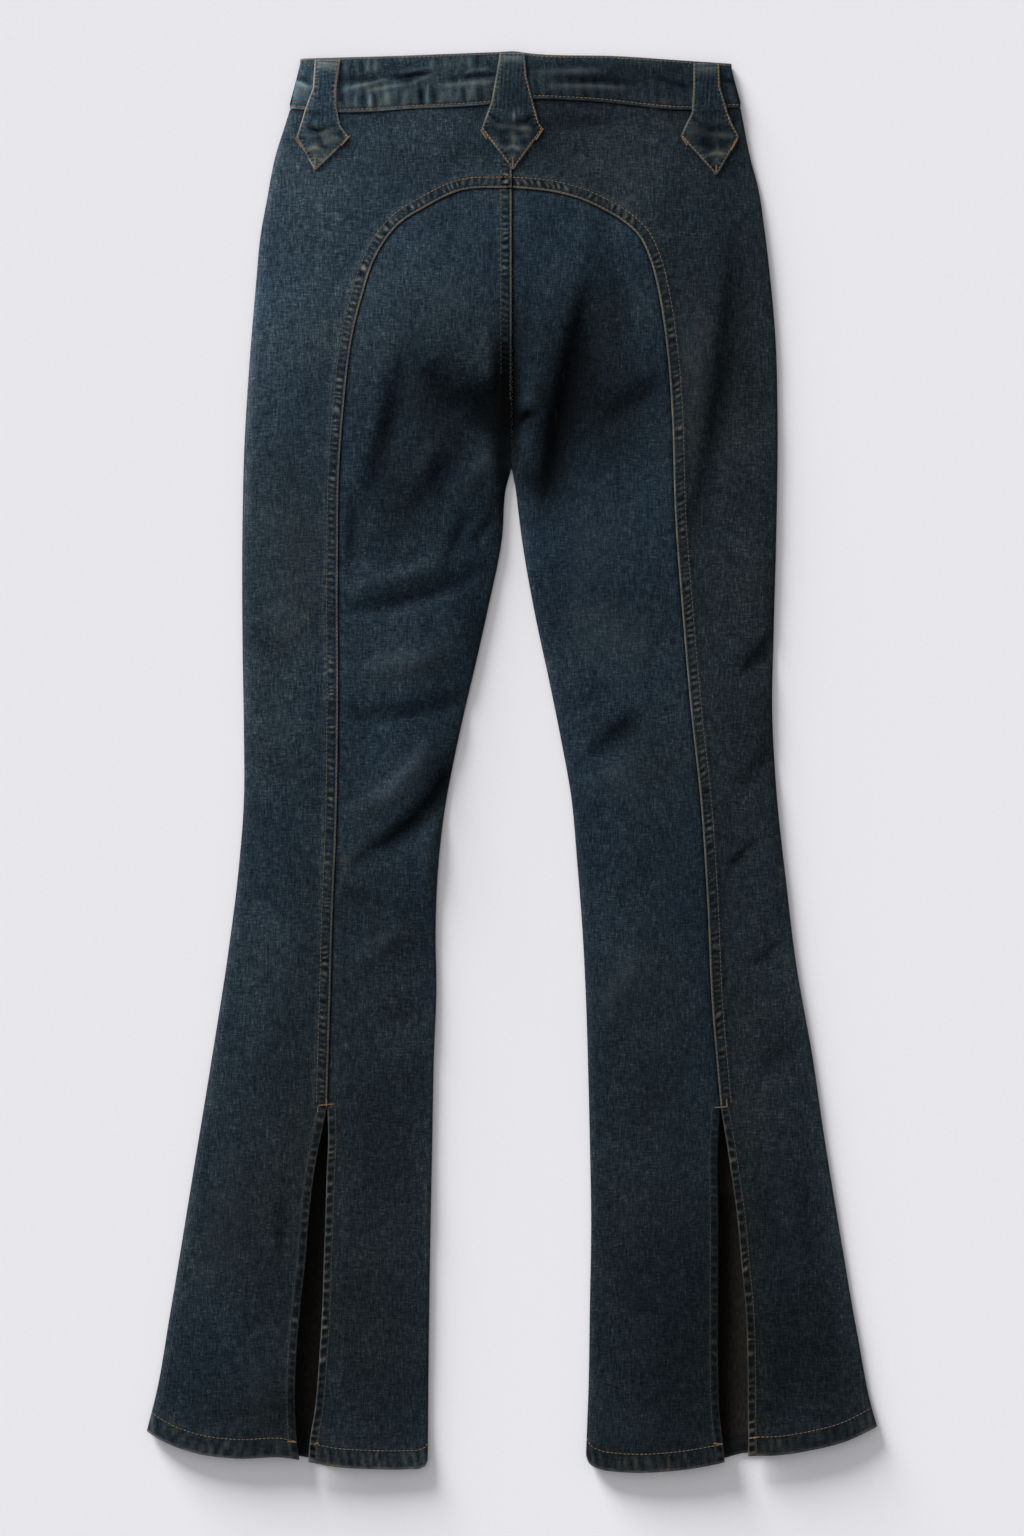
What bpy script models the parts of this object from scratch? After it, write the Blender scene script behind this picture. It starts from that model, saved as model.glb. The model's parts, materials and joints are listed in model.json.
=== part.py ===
"""Bootcut jeans, laid flat with the back up.

Sizes are in millimetres and become metres as a mesh is made. Each point of the garment has two measures on
the surface that it lies on: x runs across, from the wearer's left (minus) to right (plus), and down is the
distance below the top of the waistband. Heights are above that surface.

The front panels lie on the surface. The back panels lie on them, with a little room between that varies
with the folds. At the side of each leg both walls turn over into each other, where the side seam is.
"""

import bmesh
import bpy
import numpy as np

# ---- Driving dimensions ----

LENGTH = 1107.5  # from the top of the waistband to the lowest point of the hems
DENIM = 1.2  # one layer of cloth
BAND_THICKNESS = 2.4  # the waistband: two layers and their turnings
SEAM_GAP = 0.3  # between two pieces at a seam
LAP_WIDTH = 8.0  # the arched seam's overlap, which holds its two rows of stitches
LAP_RISE = 0.9
HEM_WIDTH = 14.0
HEM_RISE = 0.9  # what the turned-in cloth adds to a wall in a hem
TURN_WIDTH = 6.0  # the turned edges of the hem slits
TURN_RISE = 0.7
FOLD_RADIUS = 3.6  # how far in from the outline a wall turns over at a side seam
ROOM_LEAST, ROOM_MOST = 0.5, 3.7  # between the front's wall and the back's
SIDE_ROOM, CROWN_ROOM = 2.0, 1.6  # beside the outline, and what the middle of a leg adds to it
LEG_TOP, CALF, ANKLE = 212.0, 700.0, 1050.0  # down to where the hips' crown ends, and where a leg's halves
SEAM_RAISE = 0.9  # the seam between front and back lies this far above the front's inner face
BAND_EASE, HEM_EASE = 12.0, 18.0  # the lengths over which the back rises onto the waistband and the hem
BAND_ROOM = 1.1
BAND_FADE = 34.0  # the length over which the back comes down off the front's waistband
SEAT_END = 287.0  # down to the crotch, where the centre back seam ends
LEGS_PART = 324.0  # down to where a gap opens between the legs
PARTING_EASE, PARTING_LENGTH = 0.8, 20.0  # the gap starts this much narrower, and over this length
CROTCH_ABOVE, CROTCH_BELOW = 20.0, 25.0  # round the crotch, where the inseam's fold begins
FRONT_DIP = 18.0  # how much lower the front rise is than the back rise, at the centre
FRONT_HEM_LIFT = 2.0  # how much higher the front's hem ends than the back's
LOOP_THICKNESS = 1.8
LOOP_GAP = 0.6
LOOP_BOW = 0.7  # a loop stands off the waistband by this much, for the belt
BUTTON_RADIUS, BUTTON_HEIGHT = 8.5, 2.2
BUTTON_X, BUTTON_DOWN = 2.0, 43.0
BUTTON_REACH = 48.0  # how far round the button the cloth is lifted by it
LAP_END = 12.0  # where the left end of the front waistband ends, past the centre front


def table(columns, *rows):
    """A dictionary with one array for each named column."""
    return dict(zip(columns.split(), np.array(rows, float).T))


# ---- The cut, as it lies ----

WAIST_TOP = table(
    "x down", (-165, 6), (-87.5, 3.5), (-9.5, 0.5), (1, 0), (12.5, 1.5), (84, 4), (141, 8), (171, 10)
)
WAIST_SEAM = table(
    "x down", (-173, 45), (-132, 48), (-74, 45), (-16.5, 42), (17, 38), (57.5, 39), (138, 46), (178, 44)
)
JUNCTION_DOWN = 107.5  # where the arched seams leave the centre back seam

OUTER_EDGE = {
    "left": table(
        "down x",
        (6, -165), (45, -173), (84, -185), (115.5, -191), (143.5, -196), (181, -199.5), (248, -205),
        (318, -209), (362, -210), (466.5, -210), (527.5, -209), (583.5, -209), (639.5, -212), (699.5, -220),
        (786, -233), (869.5, -248), (984.5, -267), (1047.5, -277.5), (1075.5, -284.5),
    ),
    "right": table(
        "down x",
        (10, 171), (44, 178), (84, 186), (107, 192), (136.5, 196.5), (174, 201), (226, 205.5), (283, 207),
        (376.5, 206), (451, 204), (513, 202.5), (572.5, 205), (654.5, 214.5), (706.5, 221), (786, 235.5),
        (850, 245), (925, 258), (1000, 270.5), (1064, 282.5), (1071.5, 284.5),
    ),
}
INNER_EDGE = {
    "left": table(
        "down x",
        (LEGS_PART, -1), (339.5, -4.5), (380.5, -8.5), (433, -18.5), (473.5, -28), (517, -37.5), (543, -43.5),
        (598.5, -54.5), (639.5, -58.5), (685, -60), (729.5, -59.5), (786, -61), (848.5, -62), (953, -64),
        (1036.5, -65), (1100.5, -65.5),
    ),
    "right": table(
        "down x",
        (LEGS_PART, 0.5), (339.5, 2.5), (380.5, 8.5), (444, 20.5), (488.5, 29.5), (535, 38), (580.5, 46.5),
        (632.5, 51.5), (692, 55.5), (739.5, 57.5), (786, 59), (850, 60.5), (914, 61.5), (979, 60.5),
        (1043, 59.5), (1096.5, 57.5),
    ),
}
ARCH = {
    "left": table(
        "x down",
        (0, JUNCTION_DOWN), (-40.5, 110), (-68, 123), (-88, 136), (-100.5, 151.5), (-109.5, 169.5),
        (-115.5, 189), (-123, 218.5), (-127.5, 248), (-130.5, 278.5), (-133.5, 318), (-135, 406.5),
        (-135, 521), (-136.5, 610), (-139, 669), (-141, 739.5), (-143.5, 822),
    ),
    "right": table(
        "x down",
        (0, JUNCTION_DOWN), (30, 110.5), (50.5, 115.5), (70, 124), (86, 133.5), (98.5, 145), (107, 163),
        (113, 185.5), (117.5, 211.5), (121, 241), (124, 284), (126.5, 362), (132, 436), (139.5, 521),
        (146, 580.5), (151.5, 662), (155, 739.5), (162, 822),
    ),
}
SHOULDER = {"left": 0.147, "right": 0.142}  # the share of the arch's length at its shoulder
SLIT = {  # the two edges of a hem slit: the side panel's and the inner panel's
    "left": table(
        "down side inner",
        (822, -143.5, -143.5), (848.5, -149, -143), (869.5, -153, -144), (901, -157, -145),
        (943, -160.5, -146.5), (974, -164, -147.5), (1016.5, -167.5, -150), (1057.5, -168.5, -153.5),
        (1082.5, -167, -157.5), (1098, -165, -158.5),
    ),
    "right": table(
        "down side inner",
        (822, 162, 162), (848.5, 166.5, 160.5), (872, 170, 160), (904, 174.5, 160.5), (947, 178.5, 160.5),
        (979, 181.5, 160.5), (1022, 183, 160.5), (1064, 183.3, 162), (1081, 183.5, 164), (1096, 183.5, 165.5),
    ),
}
HEM = {
    "left": table(
        "x down",
        (-284.5, 1075.5), (-273, 1082.5), (-245.5, 1093.5), (-214.5, 1097.5), (-177, 1096.5), (-158, 1100),
        (-141, 1103), (-110, 1105), (-80, 1104.5), (-69, 1103.6), (-65.5, 1100.5),
    ),
    "right": table(
        "x down",
        (57.5, 1096.5), (63, 1103.5), (84, 1107.5), (123, 1107), (157.5, 1102), (183.5, 1095),
        (204.5, 1094.5), (230, 1091), (262, 1082.5), (284.5, 1071.5),
    ),
}
LOOPS = {  # each runs from the top of the waistband to the tip of its arrow
    "left": table(
        "down left right",
        (7.5, -153.5, -133.5), (29.5, -155, -136.5), (44, -160.5, -136.5), (58.5, -165, -133.5),
        (68, -168, -126.5), (81, -160.5, -139.5), (93, -153.8, -152.2),
    ),
    "centre": table(
        "down left right",
        (2, -9.5, 10), (20.5, -12.5, 11.5), (40, -16, 16.5), (56, -22, 21), (62, -24, 24.5),
        (77.5, -11.5, 12.7), (93, 0, 1.6),
    ),
    "right": table(
        "down left right",
        (10.5, 141, 161.5), (28, 141, 162), (48, 140, 168), (59, 134.5, 172.5), (67, 131, 177),
        (82, 145, 168.5), (97, 158.2, 159.8),
    ),
}

# The largest folds of the back: each is a soft trough (rise below 0) or ridge along a line that may bend.
FOLDS = table(
    "x0 down0 x1 down1 bend width rise",
    (0, 215, 0, 345, 0, 9, -3.0),  # between the thighs, up into the seat
    (-32, 225, -28, 335, 0, 20, 0.9),  # the inside of each thigh
    (36, 225, 30, 335, 0, 18, 0.9),
    (62, 184, 24, 348, 8, 11, -1.8),  # right seat
    (193, 140, 150, 376, 7, 10, -1.6),  # right hip
    (-64, 268, -9, 312, 6, 13, -1.6),  # left seat
    (-81, 228, -100, 293, 0, 8, -1.2),
    (-36, 535, -112, 624, -10, 10, -2.7),  # behind the left knee
    (-116, 434, -24, 406, 5, 9, -1.2),
    (-116, 519, -38, 506, 4, 9, -1.2),
    (205, 457, 172, 492, 0, 11, -1.7),  # from the right outer edge
    (89, 515, 65, 543, 0, 9, -1.3),
    (-118, 655, -88, 667, 0, 10, -0.8),
    (-171, 905, -172, 935, 0, 9, -0.9),
)


# ---- Curves and heights ----


def smooth(at, known, values):
    """A smooth curve through a table's values: a cubic between two rows, whose slope at each row comes
    from its neighbours."""
    slope = np.gradient(values, known)
    at = np.clip(at, known[0], known[-1])
    row = np.clip(np.searchsorted(known, at, side="right") - 1, 0, len(known) - 2)
    step = known[row + 1] - known[row]
    s = (at - known[row]) / step
    return (
        values[row] * (1 + 2 * s) * (1 - s) ** 2
        + slope[row] * step * s * (1 - s) ** 2
        + values[row + 1] * s**2 * (3 - 2 * s)
        - slope[row + 1] * step * s**2 * (1 - s)
    )


def along(path, share):
    """The points at these shares of the length of a smooth curve through a table's x and down."""
    reach = np.concatenate([[0], np.cumsum(np.hypot(np.diff(path["x"]), np.diff(path["down"])))])
    at = np.asarray(share) * reach[-1]
    return np.stack([smooth(at, reach, path["x"]), smooth(at, reach, path["down"])], axis=-1)


def ease(value, start, end):
    """0 before start, 1 after end, and a smooth step between."""
    s = np.clip((value - start) / (end - start), 0, 1)
    return s * s * (3 - 2 * s)


def outer_x(side, down):
    return smooth(down, OUTER_EDGE[side]["down"], OUTER_EDGE[side]["x"])


def inner_x(side, down):
    """The inside of a leg: the centre line down to where the legs part, less half the gap to the other."""
    sign = -1 if side == "left" else 1
    edge = smooth(down, INNER_EDGE[side]["down"], INNER_EDGE[side]["x"])
    apart = edge - sign * PARTING_EASE * ease(-down, -LEGS_PART - PARTING_LENGTH, -LEGS_PART)
    return np.where(down < LEGS_PART, 0, apart) + sign * SEAM_GAP / 2


def waist_down(x):
    return smooth(x, WAIST_SEAM["x"], WAIST_SEAM["down"])


def front_dip(x):
    """How far the front's waistband lies below the back's: most at the centre, nothing at the sides."""
    return FRONT_DIP * np.clip(1 - (x / 170) ** 2, 0, 1)


def by_side(x, down, function):
    """A function of a side and a distance down, taken for the side that each point is on."""
    return np.where(x < 0, function("left", down), function("right", down))


def button_lift(x, down):
    """How far the button, which lies under the front waistband, lifts what is over it."""
    distance = np.hypot(x - BUTTON_X, down - BUTTON_DOWN)
    return (BUTTON_HEIGHT + SEAM_GAP) * ease(-distance, -BUTTON_REACH, -BUTTON_RADIUS - 5)


def under_back(x, down):
    """The height that the back lies over: the front's wall, with its waistband and hems, eased in."""
    start, end = waist_down(x) - 45 + front_dip(x), waist_down(x) + front_dip(x)
    band = ease(down, start - BAND_EASE, start) * ease(-down, -end - BAND_FADE, -end)
    hem_down = by_side(x, x, lambda side, at: smooth(at, HEM[side]["x"], HEM[side]["down"]))
    hem_start = hem_down - HEM_WIDTH - FRONT_HEM_LIFT
    hem = ease(down, hem_start - HEM_EASE, hem_start)
    return button_lift(x, down) + DENIM + (BAND_THICKNESS - DENIM) * band + HEM_RISE * hem


def fold_heights(x, down, folds):
    """The sum of the folds at each point: each is a bell across its line and fades at its ends."""
    total = np.zeros(np.shape(x))
    for x0, down0, x1, down1, bend, width, rise in zip(*folds.values()):
        length = np.hypot(x1 - x0, down1 - down0)
        unit_x, unit_down = (x1 - x0) / length, (down1 - down0) / length
        share = ((x - x0) * unit_x + (down - down0) * unit_down) / length
        across = (x - x0) * -unit_down + (down - down0) * unit_x
        inside = np.clip(share, 0, 1)
        across = across - bend * 4 * inside * (1 - inside)
        past = (share - inside) * length
        fade = 0.25 + 0.75 * np.sin(np.pi * inside) ** 0.7
        total = total + rise * fade * np.exp(-(across / width) ** 2 - (past / (1.6 * width)) ** 2)
    return total


def room(x, down):
    """The room between the walls: least at the outline, most down the middle of the hips or of a leg."""
    outer, inner = by_side(x, down, outer_x), by_side(x, down, inner_x)
    over_hips = 1 - (x / outer) ** 2
    over_leg = 1 - (2 * (x - inner) / (outer - inner) - 1) ** 2
    legs = ease(down, LEG_TOP, LEGS_PART + 10)
    crown = np.clip((1 - legs) * over_hips + legs * over_leg, 0, 1)
    crown_room = CROWN_ROOM * crown * (1 - 0.5 * ease(down, CALF, ANKLE))
    wanted = SIDE_ROOM + crown_room + fold_heights(x, down, FOLDS)
    share = (wanted - ROOM_LEAST) / (ROOM_MOST - ROOM_LEAST)
    return ROOM_LEAST + (ROOM_MOST - ROOM_LEAST) * (0.5 + 0.5 * np.tanh(2.2 * (share - 0.5)))


def turn_over(distance, radius):
    """The share of its full height that a wall has at a distance in from the outline: a quarter circle."""
    return np.sqrt(np.clip(1 - (1 - np.clip(distance / radius, 0, 1)) ** 2, 0, 1))


def from_outline(x, down):
    """The distance in from the outline: from the outer edge, and from the inner one below the crotch."""
    outer, inner = by_side(x, down, outer_x), by_side(x, down, inner_x)
    gone = 1 - ease(down, SEAT_END - CROTCH_ABOVE, SEAT_END + CROTCH_BELOW)
    return np.minimum(np.abs(x - outer), np.abs(x - inner) + gone * FOLD_RADIUS * 4)


def seam_height(x, down):
    """The height of the seam between front and back along the outline."""
    return under_back(x, down) + SEAM_RAISE


def back_wall(x, down, thickness=DENIM, upper=0.0, lower=0.0, space=None):
    """The heights of the outer and the inner face of the back at each point. upper and lower are what a
    lap, hem or turned edge adds to each face."""
    base = under_back(x, down) + (room(x, down) if space is None else space)
    foot = seam_height(x, down) + SEAM_GAP / 2
    distance = from_outline(x, down)
    outside = foot + (base + thickness + upper - foot) * turn_over(distance, FOLD_RADIUS)
    inside = foot + (base - lower - foot) * turn_over(distance - thickness, FOLD_RADIUS - thickness)
    return outside, inside


def front_wall(x, down, thickness=DENIM, rise=0.0):
    """The heights of the outer and the inner face of the front, whose outer face lies on the surface."""
    foot = seam_height(x, down) - SEAM_GAP / 2
    distance = from_outline(x, down)
    lift = button_lift(x, down)
    top = lift + thickness + rise
    outside = foot + (lift - foot) * turn_over(distance, FOLD_RADIUS)
    inside = foot + (top - foot) * turn_over(distance - thickness, FOLD_RADIUS - thickness)
    return outside, inside


# ---- Meshes ----

FOLD_STEPS = np.sin(np.radians([0, 24, 52, 90]) / 2) ** 2 * 2  # shares of the radius: 1 - cos of the turn


def fold_columns(thickness):
    """The distances from the outline of a wall's columns: for its outer face and for its inner one."""
    return FOLD_RADIUS * FOLD_STEPS, thickness + (FOLD_RADIUS - thickness) * FOLD_STEPS


def material(name, colour, roughness, metallic=0.0):
    made = bpy.data.materials.new(name)
    made.use_nodes = True
    shader = made.node_tree.nodes["Principled BSDF"]
    shader.inputs["Base Color"].default_value = (*colour, 1)
    shader.inputs["Roughness"].default_value = roughness
    shader.inputs["Metallic"].default_value = metallic
    return made


def shell(name, outside, inside, finish):
    """A closed wall between two grids of points (x, down, height), with its rims."""
    rows, columns = outside.shape[:2]
    points = np.concatenate([outside.reshape(-1, 3), inside.reshape(-1, 3)])
    placed = np.stack([points[:, 0], LENGTH / 2 - points[:, 1], points[:, 2]], axis=-1) / 1000
    grid = np.arange(rows * columns).reshape(rows, columns)
    quads = np.stack([grid[:-1, :-1], grid[:-1, 1:], grid[1:, 1:], grid[1:, :-1]], axis=-1).reshape(-1, 4)
    rim = np.concatenate([grid[0, :-1], grid[:-1, -1], grid[-1, :0:-1], grid[:0:-1, 0]])
    after = np.roll(rim, -1)
    below = rows * columns
    walls = np.stack([rim, after, after + below, rim + below], axis=-1)
    faces = np.concatenate([quads, quads[:, ::-1] + below, walls])
    mesh = bpy.data.meshes.new(name)
    mesh.from_pydata(placed.tolist(), [], faces.tolist())
    work = bmesh.new()
    work.from_mesh(mesh)
    bmesh.ops.recalc_face_normals(work, faces=work.faces)
    work.to_mesh(mesh)
    work.free()
    mesh.shade_smooth()
    mesh.set_sharp_from_angle(angle=np.radians(40))
    mesh.materials.append(finish)
    made = bpy.data.objects.new(name, mesh)
    bpy.context.collection.objects.link(made)
    return made


def normals(path):
    """The unit normal at each point of a path, to the left of its way along."""
    way = np.gradient(path, axis=0)
    way /= np.linalg.norm(way, axis=1, keepdims=True)
    return np.stack([way[:, 1], -way[:, 0]], axis=-1)


def hem_correction(side, points, shares, lift=0.0):
    """Bends the last rows of a grid to the curve of the hem, and fades that out up the leg."""
    hem = smooth(points[-1, :, 0], HEM[side]["x"], HEM[side]["down"]) - lift
    straight = points[-1, :, 1]
    points[:, :, 1] += (hem - straight)[None, :] * shares[:, None]
    return points


def leg_rows(start, end, hem_end, count):
    """Distances down for a leg's rows: evenly to the hem, then the hem's upper edge and the hem itself."""
    body = np.linspace(start, end - HEM_WIDTH - 2, count)
    return np.concatenate([body, [end - HEM_WIDTH, end]]) if hem_end else body


def slit_points(side, panel, downs):
    return np.stack([smooth(downs, SLIT[side]["down"], SLIT[side][panel]), downs], axis=-1)


SIDE_COLUMNS, INNER_COLUMNS, FRONT_COLUMNS = 5, 9, 5  # in the middle of each panel
FRONT_ROWS = 34
BAND_COLUMNS, FRONT_BAND_COLUMNS = 19, 12
BAND_SHARE = 0.93  # of the half width, where the waistband's middle columns end
LEG_ROWS, SLIT_ROWS = 25, 10
CORNER_ROWS = (9.0, FOLD_RADIUS)  # rows this far from the corner of waist seam and side seam, which lean
CORNER_LEAN = (0.3, 0.6)
WAIST_COLUMNS = np.array([0, 1.5, 3.8, 6.5])  # below the waist seam
HEM_FADE = 110.0  # the height over which a grid's rows bend to follow the hem


def seam_side(side, panel):
    """A back panel's points along the arched seam, from its shoulder, and on along the slit's edge."""
    sign = -1 if side == "left" else 1
    away = SEAM_GAP / 2 if panel == "side" else -SEAM_GAP / 2
    arch = along(ARCH[side], np.linspace(SHOULDER[side], 1, LEG_ROWS))
    arch[:, 0] += sign * away
    hem_down = smooth(SLIT[side][panel][-1], HEM[side]["x"], HEM[side]["down"])
    slit = slit_points(side, panel, leg_rows(ARCH[side]["down"][-1], hem_down, True, SLIT_ROWS)[1:])
    slit[:, 0] += sign * away
    return np.concatenate([arch, slit])


def inner_shares(width, edge):
    """The shares of an inner panel's width at which its columns lie, from the arched seam to its fold."""
    first, last = TURN_WIDTH / width, 1 - edge[None, ::-1] / width
    middle = first + (last[:, :1] - first) * np.linspace(0, 1, INNER_COLUMNS)[None, 1:-1]
    return np.concatenate([np.zeros_like(width), first, middle, last], axis=1)


def yoke_shares(side):
    """The shares of the arch at the side panel's rows over the seat: where the inner panel's columns end,
    so that both panels have the same corners there."""
    width = np.abs(along(ARCH[side], [SHOULDER[side]])[:, :1])
    columns = inner_shares(width, fold_columns(DENIM)[0])[0]
    return np.append(0, SHOULDER[side] * (1 - columns[-5:0:-1]))


def fade_rows(downs, end):
    return ease(downs, end - HEM_FADE, end - HEM_WIDTH - 2)


def side_panel(side, finish):
    """The back's side panel: a strip that bends round the arched seam, from the centre back to the hem.
    Its rows join the waist seam, then the outer edge, to the arched seam, then the slit."""
    sign = -1 if side == "left" else 1
    corner_x, corner_down = OUTER_EDGE[side]["x"][1], OUTER_EDGE[side]["down"][1]
    yoke = yoke_shares(side)
    seam_yoke = along(ARCH[side], yoke)
    seam_yoke[:, 1] -= SEAM_GAP / 2
    seam_yoke[0, 0] = sign * SEAM_GAP / 2
    corner_steps = np.array([CORNER_ROWS[0] + 12, *CORNER_ROWS])
    waist_x = np.linspace(SEAM_GAP / 2, abs(corner_x) - corner_steps[0], len(yoke) - len(CORNER_ROWS))
    waist_x = sign * np.append(waist_x, abs(corner_x) - corner_steps[1:])
    waist = np.stack([waist_x, waist_down(waist_x) + SEAM_GAP], axis=-1)
    seam = seam_side(side, "side")
    split, hem_corner = len(seam) - SLIT_ROWS - 1, OUTER_EDGE[side]["down"][-1]
    outer_down = np.concatenate([
        np.linspace(corner_down + SEAM_GAP, ARCH[side]["down"][-1] - 12, split),
        leg_rows(ARCH[side]["down"][-1] - 12, hem_corner, True, SLIT_ROWS)[1:],
    ])
    outer = np.stack([outer_x(side, outer_down), outer_down], axis=-1)
    seam, outer = np.concatenate([seam_yoke, seam]), np.concatenate([waist, outer])

    def face(inner_face):
        lap = np.array([LAP_WIDTH + 2, LAP_WIDTH, 0])
        outwards = normals(seam) * sign
        outwards[:2] = (0, -1)
        lap_points = seam[:, None] + lap[None, :, None] * outwards[:, None]
        edge = fold_columns(DENIM)[1 if inner_face else 0]
        columns = np.linspace(0, 1, SIDE_COLUMNS + 2)[1:-1]
        lean = np.where(np.arange(len(outer)) < len(yoke), 0.0, 1.0)
        lean[len(yoke) - len(CORNER_ROWS):len(yoke)] = CORNER_LEAN
        fall = np.where(np.arange(len(outer)) > len(yoke), 0.0, 1.0)
        inwards = np.stack([-sign * lean, fall], axis=-1)
        steps = np.where(lean[:, None] == 1, edge[None, :], WAIST_COLUMNS[None, :])
        edge_points = outer[:, None] + steps[:, :, None] * inwards[:, None]
        middle = edge_points[:, -1:] + columns[None, :, None] * (lap_points[:, :1] - edge_points[:, -1:])
        points = np.concatenate([edge_points, middle, lap_points], axis=1)
        points = hem_correction(side, points, fade_rows(seam[:, 1], seam[-1, 1]))
        raised = np.zeros(points.shape[:2])
        raised[:, -2:] = LAP_RISE
        rise_hem = np.zeros_like(raised)
        rise_hem[-2:] = HEM_RISE
        upper = np.maximum(raised, rise_hem / 2)
        outside, inside = back_wall(points[:, :, 0], points[:, :, 1], DENIM, upper, rise_hem / 2)
        return np.dstack([points, inside if inner_face else outside])

    shell(f"back_side_{side}", face(False), face(True), finish)


def inner_panel(side, finish):
    """The back's inner panel: its top follows the arch from its shoulder to the centre back, its sides the
    arched seam and slit, and the centre back seam and inseam."""
    sign = -1 if side == "left" else 1
    seam = seam_side(side, "inner")
    split, hem_down = len(seam) - SLIT_ROWS - 1, INNER_EDGE[side]["down"][-1]
    inner_down = np.concatenate([
        np.linspace(JUNCTION_DOWN + SEAM_GAP, ARCH[side]["down"][-1], split),
        leg_rows(ARCH[side]["down"][-1], hem_down, True, SLIT_ROWS)[1:],
    ])
    inner = np.stack([inner_x(side, inner_down), inner_down], axis=-1)

    def face(inner_face):
        edge = fold_columns(DENIM)[1 if inner_face else 0]
        shares = inner_shares(np.abs(inner[:, :1] - seam[:, :1]), edge)
        points = seam[:, None] * (1 - shares[:, :, None]) + inner[:, None] * shares[:, :, None]
        top = along(ARCH[side], SHOULDER[side] * (1 - shares[0]))
        top[:, 1] += SEAM_GAP / 2
        top[-1] = inner[0]
        bend = ease(-seam[:, 1], -seam[0, 1] - 130, -seam[0, 1])
        points += (top - points[0])[None] * bend[:, None, None]
        points = hem_correction(side, points, fade_rows(seam[:, 1], seam[-1, 1]))
        upper = np.zeros(points.shape[:2])
        upper[LEG_ROWS:, :2] = TURN_RISE
        rise_hem = np.zeros_like(upper)
        rise_hem[-2:] = HEM_RISE
        upper = np.maximum(upper, rise_hem / 2)
        outside, inside = back_wall(points[:, :, 0], points[:, :, 1], DENIM, upper, rise_hem / 2)
        return np.dstack([points, inside if inner_face else outside])

    shell(f"back_inner_{side}", face(False), face(True), finish)


def front_panel(side, finish):
    """The front of a leg: one panel from the waistband to the hem, flat on the surface."""
    downs = np.linspace(0, 1, FRONT_ROWS)
    outer_start, inner_start = OUTER_EDGE[side]["down"][1] + SEAM_GAP, waist_down(0.0) + FRONT_DIP + SEAM_GAP
    outer_end = OUTER_EDGE[side]["down"][-1] - FRONT_HEM_LIFT
    inner_end = INNER_EDGE[side]["down"][-1] - FRONT_HEM_LIFT
    tail = np.array([HEM_WIDTH, 0])
    outer_down = np.append(outer_start + downs * (outer_end - HEM_WIDTH - 2 - outer_start), outer_end - tail)
    inner_down = np.append(inner_start + downs * (inner_end - HEM_WIDTH - 2 - inner_start), inner_end - tail)
    outer = np.stack([outer_x(side, outer_down), outer_down], axis=-1)
    inner = np.stack([inner_x(side, inner_down), inner_down], axis=-1)

    def face(inner_face):
        edge = fold_columns(DENIM)[1 if inner_face else 0]
        width = np.abs(inner[:, 0] - outer[:, 0])[:, None]
        first, last = edge[None, :] / width, 1 - edge[None, ::-1] / width
        spread = np.linspace(0, 1, FRONT_COLUMNS + 2)[None, 1:-1]
        middle = first[:, -1:] + (last[:, :1] - first[:, -1:]) * spread
        shares = np.concatenate([first, middle, last], axis=1)
        points = outer[:, None] * (1 - shares[:, :, None]) + inner[:, None] * shares[:, :, None]
        waist = waist_down(points[0, :, 0]) + front_dip(points[0, :, 0]) + 2 * SEAM_GAP
        top_fade = ease(-downs_of(points), -200, -60)
        points[:, :, 1] += (waist - points[0, :, 1])[None, :] * top_fade[:, None]
        points = hem_correction(side, points, fade_rows(inner_down, inner_end), FRONT_HEM_LIFT)
        rise = np.zeros(points.shape[:2])
        rise[-2:] = HEM_RISE
        outside, inside = front_wall(points[:, :, 0], points[:, :, 1], DENIM, rise)
        return np.dstack([points, inside if inner_face else outside])

    shell(f"front_{side}", face(False), face(True), finish)


def downs_of(points):
    """The mean distance down of each row of a grid."""
    return points[:, :, 1].mean(axis=1)


def waistband_back(finish):
    """The back of the waistband, from fold to fold."""
    middle = np.linspace(-BAND_SHARE, BAND_SHARE, BAND_COLUMNS)
    shares = np.concatenate([[-1] * len(FOLD_STEPS), middle, [1] * len(FOLD_STEPS)])

    def face(inner_face):
        edge = fold_columns(BAND_THICKNESS)[1 if inner_face else 0]
        ends = {column: distance for column, distance in enumerate(edge)}
        ends |= {len(shares) - 1 - column: distance for column, distance in enumerate(edge)}
        points = band_grid(shares, ends, False)
        outside, inside = back_wall(
            points[:, :, 0], points[:, :, 1], BAND_THICKNESS, space=np.full(points.shape[:2], BAND_ROOM)
        )
        return np.dstack([points, inside if inner_face else outside])

    shell("waistband_back", face(False), face(True), finish)


def band_grid(shares_x, folded, dip):
    """A grid over a stretch of waistband. shares_x are shares of the half width at each height, and folded
    gives, for some columns, the distance that they lie in from there."""
    shares_down = np.array([0, 0.12, 0.5, 0.88, 1.0])
    grid = np.zeros((len(shares_down), len(shares_x), 2))
    for row, share in enumerate(shares_down):
        left, right = (
            abs(OUTER_EDGE[side]["x"][0] + (OUTER_EDGE[side]["x"][1] - OUTER_EDGE[side]["x"][0]) * share)
            for side in ("left", "right")
        )
        x = np.where(shares_x < 0, shares_x * left, shares_x * right)
        for column, distance in folded.items():
            x[column] -= np.sign(x[column]) * distance
        top = smooth(x, WAIST_TOP["x"], WAIST_TOP["down"])
        down = top + (waist_down(x) - top) * share
        grid[row] = np.stack([x, down + (front_dip(x) if dip else 0)], axis=-1)
    return grid


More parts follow.
